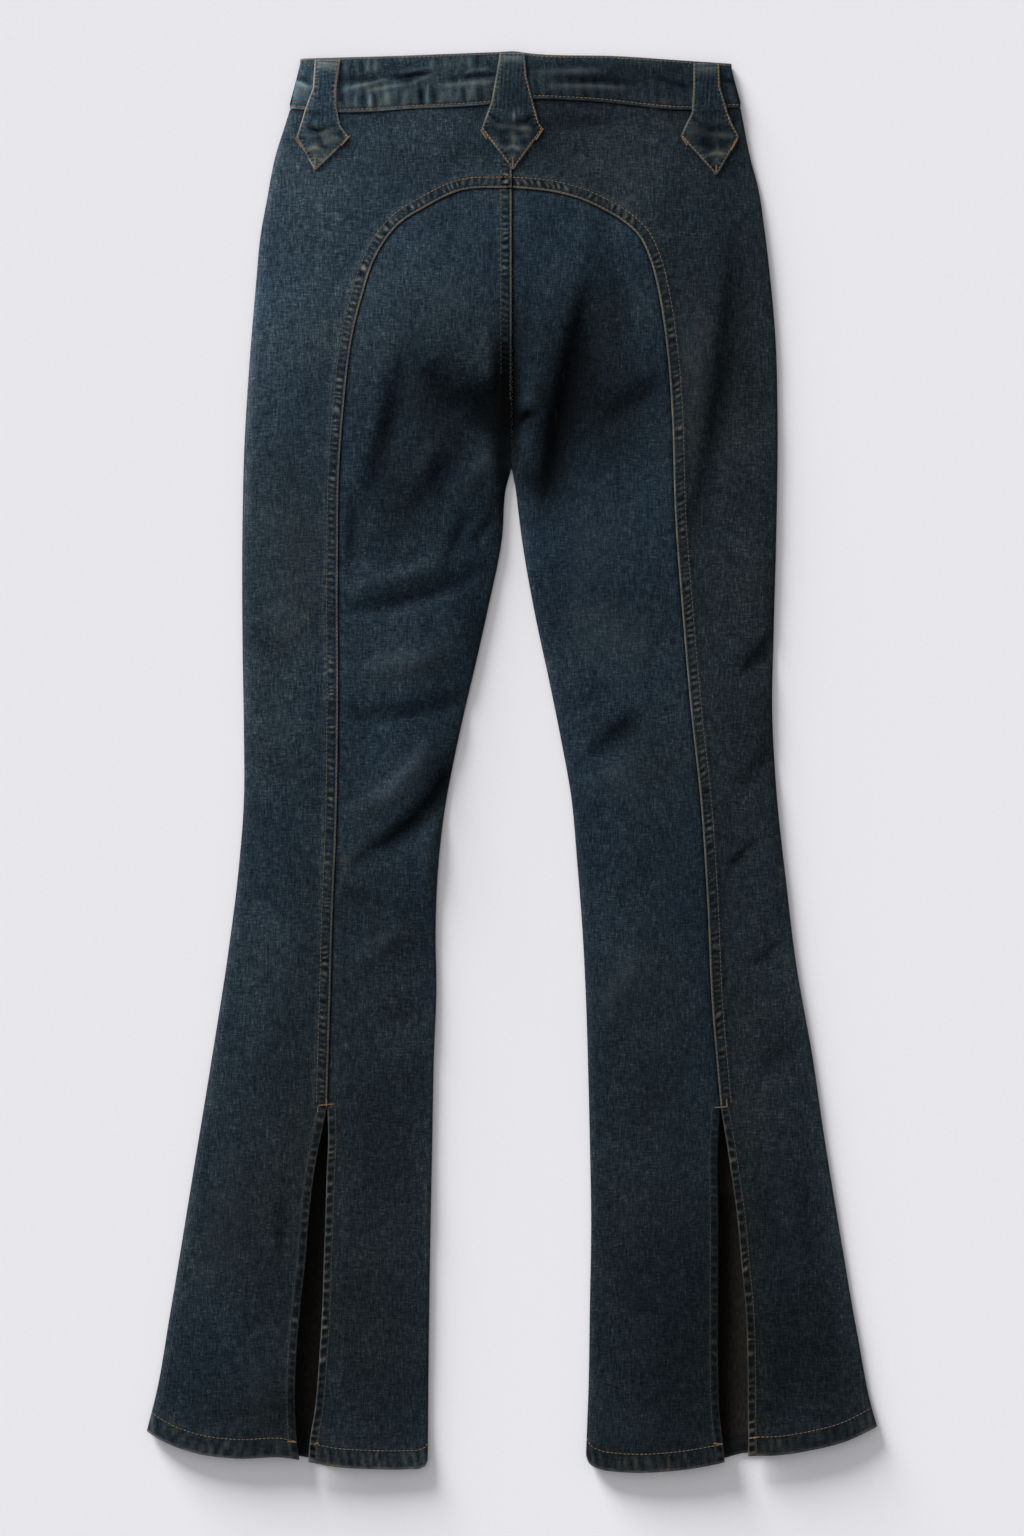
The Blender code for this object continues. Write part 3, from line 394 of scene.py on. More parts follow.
def smooth(at, known, values):
    """A smooth curve through a table's values: a cubic between two rows, whose slope at each row comes
    from its neighbours."""
    slope = np.gradient(values, known)
    at = np.clip(at, known[0], known[-1])
    row = np.clip(np.searchsorted(known, at, side="right") - 1, 0, len(known) - 2)
    step = known[row + 1] - known[row]
    s = (at - known[row]) / step
    return (
        values[row] * (1 + 2 * s) * (1 - s) ** 2
        + slope[row] * step * s * (1 - s) ** 2
        + values[row + 1] * s**2 * (3 - 2 * s)
        - slope[row + 1] * step * s**2 * (1 - s)
    )


def read(rows, wanted, at):
    """One column of a table at these values of its first column."""
    return smooth(at, next(iter(rows.values())), rows[wanted])


def reach(path):
    """The length along a path, from its start to each of its points."""
    return np.concatenate([[0], np.cumsum(np.linalg.norm(np.diff(path, axis=0), axis=1))])


def along(path, share):
    """The points at these shares of the length of a smooth curve through a table's x and down."""
    length = reach(np.stack([path["x"], path["down"]], axis=-1))
    at = np.asarray(share) * length[-1]
    return np.stack([smooth(at, length, path["x"]), smooth(at, length, path["down"])], axis=-1)


def ease(value, start, end):
    """0 before start, 1 after end, and a smooth step between."""
    s = np.clip((value - start) / (end - start), 0, 1)
    return s * s * (3 - 2 * s)


def fall(value, start, end):
    """1 before start, 0 after end, and a smooth step between."""
    return 1 - ease(value, start, end)


def window(value, start, full, less, end):
    """0 before start and after end, 1 from full to less, and smooth steps between."""
    return ease(value, start, full) * fall(value, less, end)


def bell(value, width):
    """1 at 0, falling away smoothly to either side."""
    return np.exp(-((value / width) ** 2))


def crests(wave):
    return np.clip(wave, 0, 1)


def hollows(wave):
    return np.clip(-wave, 0, 1)


def odd(values):
    """The same steps with one more in the middle of the widest, if their number is even."""
    if len(values) % 2:
        return values
    widest = np.argmax(np.abs(np.diff(values)))
    return np.insert(values, widest + 1, (values[widest] + values[widest + 1]) / 2)


def wander(at, seed):
    """A line that wanders between -1 and 1: values drawn at whole numbers, eased between."""
    draws = np.random.default_rng(seed).uniform(-1, 1, 4096)
    whole = np.floor(at).astype(int)
    part = ease(at - whole, 0, 1)
    return draws[whole % 4096] * (1 - part) + draws[(whole + 1) % 4096] * part


def dapple(x, down, pitch, seed):
    """Soft unevenness over a surface, from -1 to 1: values drawn at the corners of a turned square lattice
    of this pitch, eased between."""
    size, turn = 256, np.radians(28)
    draws = np.random.default_rng(seed).uniform(-1, 1, (size, size))
    u, v = (x * np.cos(turn) + down * np.sin(turn)) / pitch, (down * np.cos(turn) - x * np.sin(turn)) / pitch
    i, j = np.floor(u).astype(int), np.floor(v).astype(int)
    s, t = ease(u - i, 0, 1), ease(v - j, 0, 1)
    upper = draws[i % size, j % size] * (1 - s) + draws[(i + 1) % size, j % size] * s
    lower = draws[i % size, (j + 1) % size] * (1 - s) + draws[(i + 1) % size, (j + 1) % size] * s
    return upper * (1 - t) + lower * t


def roping(length, pitch, seed):
    """An uneven wave along a seam, from -1 to 1: a sine whose pitch and depth wander."""
    turns = length / pitch + 0.55 * wander(length / pitch / 2.7, seed)
    return np.sin(2 * np.pi * turns) * (0.62 + 0.38 * wander(length / pitch / 1.9, seed + 1))


# ---- Heights ----

SIGN = {"left": -1, "right": 1}


def outer_x(side, down):
    return read(OUTER_EDGE[side], "x", down)


def inner_x(side, down):
    """The inside of a leg: the centre line down to where the legs part, less half the gap to the other."""
    narrower = PARTING_EASE * fall(down, LEGS_PART, LEGS_PART + PARTING_LENGTH)
    apart = read(INNER_EDGE[side], "x", down) - SIGN[side] * narrower
    return np.where(down < LEGS_PART, 0, apart) + SIGN[side] * SEAM_GAP / 2


def waist_top(x):
    return read(WAIST_TOP, "down", x)


def waist_down(x):
    return read(WAIST_SEAM, "down", x)


def hem_down(side, x):
    return read(HEM[side], "down", x)


def front_dip(x):
    """How far the front's waistband lies below the back's: most at the centre, nothing at the sides."""
    return FRONT_DIP * np.clip(1 - (x / DIP_REACH) ** 2, 0, 1)


def by_side(x, down, function):
    """A function of a side and a distance down, taken for the side that each point is on."""
    return np.where(x < 0, function("left", down), function("right", down))


def button_lift(x, down):
    """How far the button, which lies under the front waistband, lifts what is over it."""
    distance = np.hypot(x - BUTTON_X, down - BUTTON_DOWN)
    return (BUTTON_HEIGHT + SEAM_GAP) * fall(distance, BUTTON_RADIUS + 5, BUTTON_REACH)


def under_back(x, down):
    """The height that the back lies over: the front's wall, with its waistband and hems, eased in."""
    end = waist_down(x) + front_dip(x)
    band = window(down, end - BAND_REACH - BAND_EASE, end - BAND_REACH, end, end + BAND_FADE)
    hem_start = by_side(x, x, hem_down) - HEM_WIDTH - FRONT_HEM_LIFT
    hem = ease(down, hem_start - HEM_EASE, hem_start)
    return button_lift(x, down) + DENIM + (BAND_THICKNESS - DENIM) * band + HEM_RISE * hem


def fold_heights(x, down, folds):
    """The sum of the folds at each point: each is a bell across its line, wider on one side by its skew,
    and fades at its ends."""
    total = np.zeros(np.shape(x))
    for x0, down0, x1, down1, bend, width, skew, rise in zip(*folds.values()):
        length = np.hypot(x1 - x0, down1 - down0)
        unit_x, unit_down = (x1 - x0) / length, (down1 - down0) / length
        share = ((x - x0) * unit_x + (down - down0) * unit_down) / length
        across = (x - x0) * -unit_down + (down - down0) * unit_x
        inside = np.clip(share, 0, 1)
        across = across - bend * 4 * inside * (1 - inside)
        past = (share - inside) * length
        fade = 0.25 + 0.75 * np.sin(np.pi * inside) ** 0.7
        spread = width * np.where(across < 0, 1 + skew, 1 - skew / 2)
        total = total + rise * fade * np.exp(-((across / spread) ** 2) - (past / (1.6 * width)) ** 2)
    return total


def room(x, down):
    """The room between the walls: little beside the outline and at the waist seam, most where a leg is
    fullest, with the folds and a soft unevenness, and never less than the least."""
    outer, inner = by_side(x, down, outer_x), by_side(x, down, inner_x)
    peak, rise = (
        by_side(x, down, lambda side, at, key=key: read(FULLNESS[side], key, at)) for key in ("peak", "rise")
    )
    share = np.clip((x - outer) / (inner - outer), 0, 1)
    over_leg = 1 - np.where(share < peak, 1 - share / peak, (share - peak) / (1 - peak)) ** 2
    over_hips = 1 - np.clip(np.abs(x / outer), 0, 1) ** 2
    legs = ease(down, *HIPS_END)
    crown = (1 - legs) * over_hips + legs * over_leg
    below_waist = down - waist_down(x)
    beside_waist = 0.3 + 0.7 * ease(below_waist, 0, 35)
    uneven = 0.45 * dapple(x, down, 46, 11) + 0.22 * dapple(x, down, 19, 12)
    roundness = EDGE_RISE * (1 - np.exp(-from_outline(x, down) / EDGE_REACH)) * ease(below_waist, 5, 60)
    wanted = SIDE_ROOM * beside_waist + roundness + rise * crown + fold_heights(x, down, FOLDS) + uneven
    firmness = 2.2  # how closely a trough comes to the least before it levels out
    return ROOM_LEAST + np.log1p(np.exp(firmness * (wanted - ROOM_LEAST))) / firmness


def turn_over(distance, radius):
    """The share of its full height that a wall has at a distance in from the outline: a quarter circle."""
    return np.sqrt(np.clip(1 - (1 - np.clip(distance / radius, 0, 1)) ** 2, 0, 1))


def from_edges(x, down):
    """The distances in from the outer edge and from the inner one, which counts below the crotch only."""
    gone = fall(down, SEAT_END - CROTCH_ABOVE, SEAT_END + CROTCH_BELOW)
    outer, inner = by_side(x, down, outer_x), by_side(x, down, inner_x)
    return np.abs(x - outer), np.abs(x - inner) + gone * FOLD_RADIUS * 4


def from_outline(x, down):
    return np.minimum(*from_edges(x, down))


def wall(x, down, gap, top, thickness=0.0):
    """The height of a wall's face: at the outline that of the seam between front and back, past its gap,
    and from there over a quarter circle to the face's own. An inner face starts a wall's thickness in."""
    foot = under_back(x, down) + SEAM_RAISE + gap / 2
    return foot + (top - foot) * turn_over(from_outline(x, down) - thickness, FOLD_RADIUS - thickness)


def back_outside(x, down, space, thickness=DENIM, upper=0.0):
    return wall(x, down, SEAM_GAP, under_back(x, down) + space + thickness + upper)


def back_inside(x, down, space, thickness=DENIM, lower=0.0):
    return wall(x, down, SEAM_GAP, under_back(x, down) + space - lower, thickness)


def front_outside(x, down):
    return wall(x, down, -SEAM_GAP, button_lift(x, down))


def front_inside(x, down, thickness=DENIM, rise=0.0):
    return wall(x, down, -SEAM_GAP, button_lift(x, down) + thickness + rise, thickness)


def inner_face(points, thickness):
    """x and down of a wall's inner face: every second point of the outer one, moved in by the wall's
    thickness where it turns over at a fold."""
    x, down = points[::2, ::2, 0], points[::2, ::2, 1]
    from_outer, from_inner = from_edges(x, down)
    shift = np.clip(1 - from_inner / FOLD_RADIUS, 0, 1) - np.clip(1 - from_outer / FOLD_RADIUS, 0, 1)
    return x + np.sign(x) * thickness * shift, down


def patches(x, down, rows):
    """The sum of a table's soft patches: each is a bell across times a bell down."""
    return sum(
        amount * bell(x - x0, wide) * bell(down - down0, tall)
        for x0, down0, wide, tall, amount in zip(*rows.values())
    )


def tone_and_painted_light(x, down):
    """Painted light and shade, with a little random unevenness of the dye's tone: lightest at the left hip,
    darkest between the thighs and at the right, in soft patches whose amounts are powers of 2, with painted
    highlights along the folds at the sides."""
    from_outer, from_inner = from_edges(x, down)
    left_edge, right_edge = np.where(x < 0, from_outer, from_inner), np.where(x < 0, from_inner, from_outer)
    amount = (
        -0.18
        - 0.50 * ease(down, 150, 1150)
        - 0.30 * ease(x, -180, 190)
        + np.where(x < 0, 0.40, 0.12) * bell(left_edge - 2.5, 4.5)
        + ease(down, 560, 760) * (0.38 * bell(right_edge - 3, 11) + 0.35 * bell(right_edge - 1, 4.5))
        + 0.10 * dapple(x, down, 90, 21)
        + 0.08 * dapple(x, down, 34, 22)
    )
    return 2 ** (amount + patches(x, down, PAINTED_LIGHT_AND_SHADE))


def cast(x, down):
    """How much browner the dye is than its panel's, in soft patches."""
    return patches(x, down, CASTS) + 0.12 * dapple(x, down, 52, 23)


# ---- Seams and edges: rise, wear and shade at a distance in from an edge and a length along it ----


def lap_detail(distance, length, seed):
    """A lapped seam: a rounded edge rubbed pale, then a band kept dark between two rows of stitches, partly
    as dye and partly as painted shade in the puckers' hollows and beside the near row, crossed by narrow pale
    puckers which run out past the far row."""
    loose = length + 1.2 * wander(length / 6.5, seed + 14) + 1.8 * dapple(length, 2 * distance, 13, seed + 16)
    wave = np.clip(1.5 * roping(loose + 0.2 * distance, ROPING_PITCH, seed) - 0.25, -1, 1)
    far_wave = roping(loose - 0.3 * distance, ROPING_PITCH * 1.3, seed + 5)
    uneven = 0.55 + 0.45 * wander(length / 16, seed + 9)
    strong = 0.35 + 0.55 * np.abs(wander(length / 5.5, seed + 12))
    broken = np.clip(0.85 + 0.9 * dapple(length, 2.4 * distance, 6, seed + 15), 0.2, 1.3)
    fading = 1 - 0.45 * ease(length, 520, 800)
    band, beyond = window(distance, *LAP_BAND), bell(distance - 10, 2.6)
    crest = broken * crests(1.4 * wave)
    rise = (
        LAP_RISE * turn_over(distance, 1.0) * fall(distance, *LAP_FALL)
        + uneven * (0.42 * wave * band + 0.20 * far_wave * beyond)
        - 0.22 * (bell(distance - SEAM_ROWS[0], 0.5) + bell(distance - SEAM_ROWS[1], 0.6))
    )
    wear = (
        (0.90 + 0.2 * uneven) * (0.45 + 0.55 * fading) * bell(distance - 0.5, 0.7)
        + np.minimum(fading * (0.9 + 1.4 * uneven) * strong * crest, 0.85) * bell(distance - 5.2, 2.2)
        + 0.30 * uneven * crests(far_wave) ** 2 * beyond
    )
    shade = (
        band * (0.3 + 0.65 * broken * hollows(wave)) * np.clip(1 - 0.8 * crest, 0, 1)
        + 0.35 * bell(distance - 2.0, 0.7)
        + 0.4 * uneven * hollows(far_wave) * beyond
    )
    return np.stack([rise, wear, shade])


def under_detail(distance, length, seed):
    """Beside a lapped seam, on the panel that lies under it: the cloth dips to the seam, with a painted
    shadow along it.
    """
    wave = roping(length - 0.4 * distance, ROPING_PITCH * 1.4, seed + 3)
    rise = -0.35 * bell(distance, 2.6) + 0.10 * wave * bell(distance - 5, 4)
    return np.stack([rise, 0.10 * crests(wave) * bell(distance - 6, 4), bell(distance, 1.5)])


def turned_detail(distance, length, seed, worn):
    """A slit's turned edge: a band with a ladder of puckers, dark between narrow pale crests (partly dye and
    partly painted shade), and one row of stitches. Where it isn't worn, the edge rolls under, with painted
    shade along it."""
    loose = length + 1.6 * wander(length / 8, seed + 14) + 1.5 * dapple(length, 2 * distance, 11, seed + 16)
    wave = np.clip(1.8 * roping(loose + 0.1 * distance, LADDER_PITCH, seed) - 0.4, -1, 1)
    uneven = 0.7 + 0.3 * wander(length / 19, seed + 2)
    broken = np.clip(0.75 + dapple(length, 2.4 * distance, 6, seed + 15), 0, 1.3)
    band, crest, rolled = window(distance, *TURN_BAND), broken * crests(wave) ** 2, 1 - worn
    rise = (
        TURN_RISE * turn_over(distance, 0.9) * fall(distance, TURN_WIDTH, TURN_WIDTH + 1.6)
        + 0.28 * wave * band
        - 0.18 * bell(distance - SLIT_ROW, 0.6)
        - 1.1 * rolled * bell(distance, 4)
    )
    wear = (
        worn * uneven * (1.3 * crest * band + 0.8 * bell(distance - 0.5, 0.7))
        + 0.15 * worn * bell(distance - SLIT_ROW, 1.2)
        + 0.12 * crest * band
    )
    shade = (0.25 + 0.9 * worn) * np.clip(0.3 - wave, 0, 1) * band + 0.6 * rolled * bell(distance, 4.5)
    return np.stack([rise, wear, shade])


def hem_detail(distance, length, seed):
    """A hem: a doubled band with uneven puckers below its row of stitches, dark in their hollows (partly dye
    and partly painted shade), and a rubbed edge.
    """
    depth = 0.35 + 0.65 * np.abs(wander(length / 15, seed + 4))
    wave = depth * np.clip(1.3 * roping(length + 0.2 * distance, HEM_PITCH, seed), -1, 1)
    stain = dapple(length, 1.5 * distance, 9, seed + 6)
    band = window(distance, 0.6, 2.4, HEM_WIDTH - 2.5, HEM_WIDTH + 0.5)
    rise = (
        0.5 * HEM_RISE * turn_over(distance, 1.0) * fall(distance, HEM_WIDTH + 0.6, HEM_WIDTH + 3)
        + 0.40 * wave * band
        - 0.22 * bell(distance - HEM_ROW, 0.6)
        + 0.20 * wave * bell(distance - 19, 3.5)
    )
    wear = (
        (0.55 * crests(wave) + 0.12 * crests(stain)) * band
        + 0.2 * crests(wave) * bell(distance - 19, 3)
        + (0.75 + 0.35 * wander(length / 7, seed + 8)) * bell(distance - 0.6, 1.2)
    )
    return np.stack([rise, wear, (0.12 + 0.6 * hollows(wave) + 0.2 * hollows(stain)) * band])


# The two halves meet in a lapped seam at the centre back: the left one lies over the right one.
CENTRE_DETAIL = {"left": lap_detail, "right": under_detail}


# ---- Meshes ----


def placed(points):
    """Points (x, down, height) in millimetres, as metres in the frame."""
    return np.stack([points[..., 0], LENGTH / 2 - points[..., 1], points[..., 2]], axis=-1) / 1000


def add_object(name, data):
    """An object at the origin, in the scene."""
    made = bpy.data.objects.new(name, data)
    bpy.context.collection.objects.link(made)
    return made


def add_mesh(name, points, faces, finishes, slots, values):
    """An object at the origin from points in millimetres, its faces, its materials, the number of each
    face's material, and named values for its points."""
    mesh = bpy.data.meshes.new(name)
    mesh.from_pydata(placed(points).tolist(), [], faces)
    for finish in finishes:
        mesh.materials.append(finish)
    mesh.polygons.foreach_set("material_index", np.asarray(slots, np.int32))
    for key, value in values.items():
        made = mesh.attributes.new(key, "FLOAT", "POINT")
        made.data.foreach_set("value", np.asarray(value, np.float32).ravel())
    mesh.shade_smooth()
    return add_object(name, mesh)


def quads_of(grid):
    """The faces between the points of a grid of numbers."""
    return np.stack([grid[:-1, :-1], grid[:-1, 1:], grid[1:, 1:], grid[1:, :-1]], axis=-1)


def tube_of(rings):
    """The faces between rings of numbers, closed round."""
    beside = np.roll(rings, -1, axis=1)
    return np.stack([rings[:-1], rings[1:], beside[1:], beside[:-1]], axis=-1).reshape(-1, 4)


def rim_of(grid):
    """The numbers round the rim of a grid."""
    return np.concatenate([grid[0, :-1], grid[:-1, -1], grid[-1, :0:-1], grid[:0:-1, 0]])


def shell(name, outside, inside, finishes, wear, shade, warmth, lining=None):
    """A closed thin wall: the outer face on its whole grid, the inner face on a grid with every second row
    and column, and a rim where each edge of the inner face meets two of the outer one, as three triangles.
    lining says, for each point of the inner grid, whether its face has the second material."""
    outer = np.arange(outside[..., 0].size).reshape(outside.shape[:2])
    inner = outer.size + np.arange(inside[..., 0].size).reshape(inside.shape[:2])
    first, i0 = rim_of(outer), rim_of(inner)
    o0, o1, o2, i1 = first[::2], first[1::2], np.roll(first, -2)[::2], np.roll(i0, -1)
    corners = ((o1, o0, i0), (o1, i0, i1), (o2, o1, i1))
    rim = np.concatenate([np.stack(three, axis=-1) for three in corners])
    faces = [quads_of(outer).reshape(-1, 4), quads_of(inner).reshape(-1, 4)[:, ::-1], rim]
    row, column = outer.shape[0] // 2, outer.shape[1] // 2
    cell = outside[row, column]
    way = np.cross(outside[row + 1, column] - cell, outside[row, column + 1] - cell)[2]
    outer_is_lower = outside[..., 2].mean() < inside[..., 2].mean()
    if (way < 0) != outer_is_lower:
        faces = [part[:, ::-1] for part in faces]
    lined = np.ones(len(faces[1])) if lining is None else lining[1:, 1:].ravel()
    slots = np.concatenate([np.zeros(len(faces[0])), lined, np.zeros(len(rim))])
    points = np.concatenate([outside.reshape(-1, 3), inside.reshape(-1, 3)])
    x, down = points[:, 0], points[:, 1]
    values = {
        "wear": np.concatenate([wear.ravel(), wear[::2, ::2].ravel()]),
        "shade": np.concatenate([shade.ravel(), shade[::2, ::2].ravel()]),
        "tone_and_painted_light": tone_and_painted_light(x, down),
        "warmth": warmth + cast(x, down),
    }
    return add_mesh(name, points, [face for part in faces for face in part.tolist()], finishes, slots, values)


def line_at(points, distances, wanted):
    """The line through a grid at a fixed distance from one of its edges, where distances are its columns'."""
    order = np.argsort(distances)
    column = np.interp(wanted, distances[order], order.astype(float))
    low, high = int(np.floor(column)), int(np.ceil(column))
    part = column - low
    return points[:, low] * (1 - part) + points[:, high] * part


# ---- Stitches ----

ROUND = np.radians(np.arange(0, 360, 60))
STITCH_RINGS = table(  # along one stitch: its place, the share of its width, and of its rise from the cloth
    "place width lift",
    (-0.5, 0.3, -0.5), (-0.36, 0.85, 0.45), (0, 1, 1), (0.36, 0.85, 0.45), (0.5, 0.3, -0.5),
)


class Thread:
    """Gathers the ends of the stitches of a piece and makes them one mesh: each stitch is a flattened rod
    of five rings that comes up out of the cloth and goes back into it."""

    def __init__(self):
        self.starts, self.ends, self.tones, self.widths = [], [], [], []

    def row(self, path, tone, seed=0, width=STITCH_WIDTH, pitch=STITCH_PITCH):
        """Stitches along a path, a pitch apart. tone is one value, or one for each point of the path."""
        length = reach(path)
        centres = np.arange(pitch / 2, length[-1], pitch)
        if not len(centres):
            return
        half = pitch * STITCH_LENGTH / STITCH_PITCH / 2
        for step, group in ((-half, self.starts), (half, self.ends)):
            points = [np.interp(centres + step, length, path[:, axis]) for axis in range(3)]
            group.append(np.stack(points, axis=-1))
        tones = np.interp(centres, length, np.broadcast_to(tone, length.shape))
        self.tones.append(np.clip(tones * (1 + 0.5 * wander(centres / 9, seed + 31)), 0, 1))
        self.widths.append(np.full(len(centres), width))

    def bar(self, start, end, height_at, width=2.6, pitch=0.62, tone=0.8):
        """A bar tack: close stitches across a short line."""
        start, end = np.array(start, float), np.array(end, float)
        length = np.linalg.norm(end - start)
        way = (end - start) / length
        across = np.array([-way[1], way[0]]) * width / 2
        centres = start + way * np.arange(0, length, pitch)[:, None]
        lean = way * pitch * 0.4
        for points, group in ((centres - across - lean, self.starts), (centres + across + lean, self.ends)):
            group.append(np.column_stack([points, height_at(points[:, 0], points[:, 1])]))
        self.tones.append(np.full(len(centres), tone))
        self.widths.append(np.full(len(centres), 0.62))

    def make(self, name):
        """One closed rod for each stitch: its rings lie across its way, flattened, and rise and fall."""
        starts, ends = np.concatenate(self.starts), np.concatenate(self.ends)
        width = np.concatenate(self.widths)[:, None, None, None]
        way = ends - starts
        unit = way / np.linalg.norm(way, axis=1, keepdims=True)
        side = np.cross(unit, (0, 0, 1.0))
        side /= np.linalg.norm(side, axis=1, keepdims=True)
        up = np.cross(side, unit)
        place, breadth, lift = (STITCH_RINGS[key][None, :, None, None] for key in ("place", "width", "lift"))
        flat, high = np.cos(ROUND)[None, None, :, None], np.sin(ROUND)[None, None, :, None]
        points = (
            (starts + ends)[:, None, None] / 2
            + way[:, None, None] * place
            + side[:, None, None] * breadth * width / 2 * flat
            + up[:, None, None] * STITCH_THICKNESS * (0.45 * lift + breadth / 2 * high)
        )
        count, rings, sides = points.shape[:3]
        numbers = np.arange(rings * sides).reshape(rings, sides)
        each = np.arange(count)[:, None, None] * rings * sides
        faces = (tube_of(numbers)[None] + each).reshape(-1, 4).tolist()
        faces += (numbers[None, 0] + each[:, 0]).tolist() + (numbers[None, -1, ::-1] + each[:, 0]).tolist()
        tones = np.repeat(np.concatenate(self.tones), rings * sides)
        finish = [FINISHES["stitching"]]
        made = add_mesh(name, points.reshape(-1, 3), faces, finish, np.zeros(len(faces)), {"tone": tones})
        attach(made, "root")


# ---- Finishes ----


def linear(colour):
    """An sRGB hex colour as linear red, green and blue, with an alpha of 1."""
    parts = np.array([int(colour[at:at + 2], 16) for at in (1, 3, 5)]) / 255
    return (*np.where(parts <= 0.04045, parts / 12.92, ((parts + 0.055) / 1.055) ** 2.4), 1.0)


def add(tree, kind, settings=None, sockets=None, output=0, stops=None):
    """Adds a node to a tree: its settings, then its sockets, each a value or the output that it is linked
    to, then the stops of a ramp, each a place and a colour. Gives one of the node's outputs."""
    made = tree.nodes.new(kind)
    for key, value in (settings or {}).items():
        setattr(made, key, value)
    for key, value in (sockets or {}).items():
        if isinstance(value, bpy.types.NodeSocket):
            tree.links.new(value, made.inputs[key])
        else:
            made.inputs[key].default_value = value
    for number, (place, colour) in enumerate(stops or ()):
        stop = made.color_ramp.elements[number] if number < 2 else made.color_ramp.elements.new(place)
        stop.position = place
        stop.color = linear(colour)
    return made.outputs[output]


def new_finish(name, roughness, specular=0.5):
    """A material, its tree, its shader and the place of each point on the object."""
    finish = bpy.data.materials.new(name)
    finish.use_nodes = True
    tree = finish.node_tree
    shader = tree.nodes["Principled BSDF"]
    shader.inputs["Roughness"].default_value = roughness
    shader.inputs["Specular IOR Level"].default_value = specular
    return finish, tree, shader, add(tree, "ShaderNodeTexCoord", output="Object")


# The patterns of denim, on Object coordinates: the spacing of each in mm, across and along the leg.
DENIM_PATTERNS = table(
    "across along detail roughness weight bump",
    (0.95, 8.5, 3, 0.65, 1.00, 0.30),  # slubs in the warp
    (6.0, 0.90, 3, 0.60, 0.85, 0.20),  # the weft
    (0.62, 0.6, 2, 0.7, 1.00, 0.45),  # the ribs of the twill, drawn as an uneven grain where threads cross
    (1.8, 2.6, 2, 0.6, 0.45, 0.0),  # threads that took more dye than their neighbours
    (7.0, 10.0, 3, 0.6, 0.28, 0.0),  # mottling from stone washing
    (60.0, 90.0, 2, 0.5, 0.35, 0.0),  # the broad unevenness of the overdye
)


def denim(name, stops, worn_cool="#667478", worn_warm="#90887a"):
    """Denim: a cotton twill whose warp is dyed with indigo, overdyed with brown and then stone washed. It
    looks matt and grainy, a dark blue with a grey-brown cast, pale where edges and puckers are rubbed."""
    finish, tree, shader, place = new_finish(name, 0.95, 0.04)
    value, height, grains = 0.5 - sum(DENIM_PATTERNS["weight"]) / 2, 0.0, []
    for across, along_leg, detail, roughness, weight, bump in zip(*DENIM_PATTERNS.values()):
        scale = (1000 / across, 1000 / along_leg, 1000 / across)
        mapping = {"Vector": place, "Scale": scale, "Location": (across, along_leg, 0)}
        scaled = add(tree, "ShaderNodeMapping", {}, mapping)
        noise = {"Vector": scaled, "Scale": 1.0, "Detail": detail, "Roughness": roughness}
        grain = add(tree, "ShaderNodeTexNoise", {}, noise)
        grains.append(grain)
        value = add(tree, "ShaderNodeMath", {"operation": "MULTIPLY_ADD"}, {0: grain, 1: weight, 2: value})
        height = add(tree, "ShaderNodeMath", {"operation": "MULTIPLY_ADD"}, {0: grain, 1: bump, 2: height})
    dyed = add(tree, "ShaderNodeValToRGB", {}, {"Fac": value}, stops=stops)
    wear, shade, tone_and_painted_light_here, warmth = (
        add(tree, "ShaderNodeAttribute", {"attribute_name": key}, output="Fac")
        for key in ("wear", "shade", "tone_and_painted_light", "warmth")
    )
    tint = add(tree, "ShaderNodeValToRGB", {}, {"Fac": warmth}, stops=((0, "#d6edff"), (1, "#fff1e0")))
    worn_stops = ((0.38, worn_cool), (0.6, worn_warm))
    rubbed = add(tree, "ShaderNodeValToRGB", {}, {"Fac": grains[4]}, stops=worn_stops)
    uneven = add(tree, "ShaderNodeMath", {"operation": "MULTIPLY_ADD"}, {0: grains[2], 1: 1.7, 2: -0.15})
    much = add(tree, "ShaderNodeMath", {"operation": "MULTIPLY", "use_clamp": True}, {0: wear, 1: uneven})
    colour = add(tree, "ShaderNodeMix", {"data_type": "RGBA"}, {0: much, 6: dyed, 7: rubbed}, 2)
    colour = add(tree, "ShaderNodeVectorMath", {"operation": "MULTIPLY"}, {0: colour, 1: tint})
    # The colour is darkened by shade (partly kept dye, partly painted shade) and scaled by the painted light
    # and shade, which carries a little random tone too.
    darkening = {"operation": "MULTIPLY_ADD", "use_clamp": True}
    dark = add(tree, "ShaderNodeMath", darkening, {0: shade, 1: -0.62, 2: 1.0})
    light = add(tree, "ShaderNodeMath", {"operation": "MULTIPLY"}, {0: dark, 1: tone_and_painted_light_here})
    colour = add(tree, "ShaderNodeVectorMath", {"operation": "SCALE"}, {0: colour, "Scale": light})
    bumped = add(tree, "ShaderNodeBump", {}, {"Height": height, "Strength": 0.45, "Distance": 0.0004})
    tree.links.new(colour, shader.inputs["Base Color"])
    tree.links.new(bumped, shader.inputs["Normal"])
    shader.inputs["Sheen Weight"].default_value = 0.015
    shader.inputs["Sheen Roughness"].default_value = 0.6
    return finish


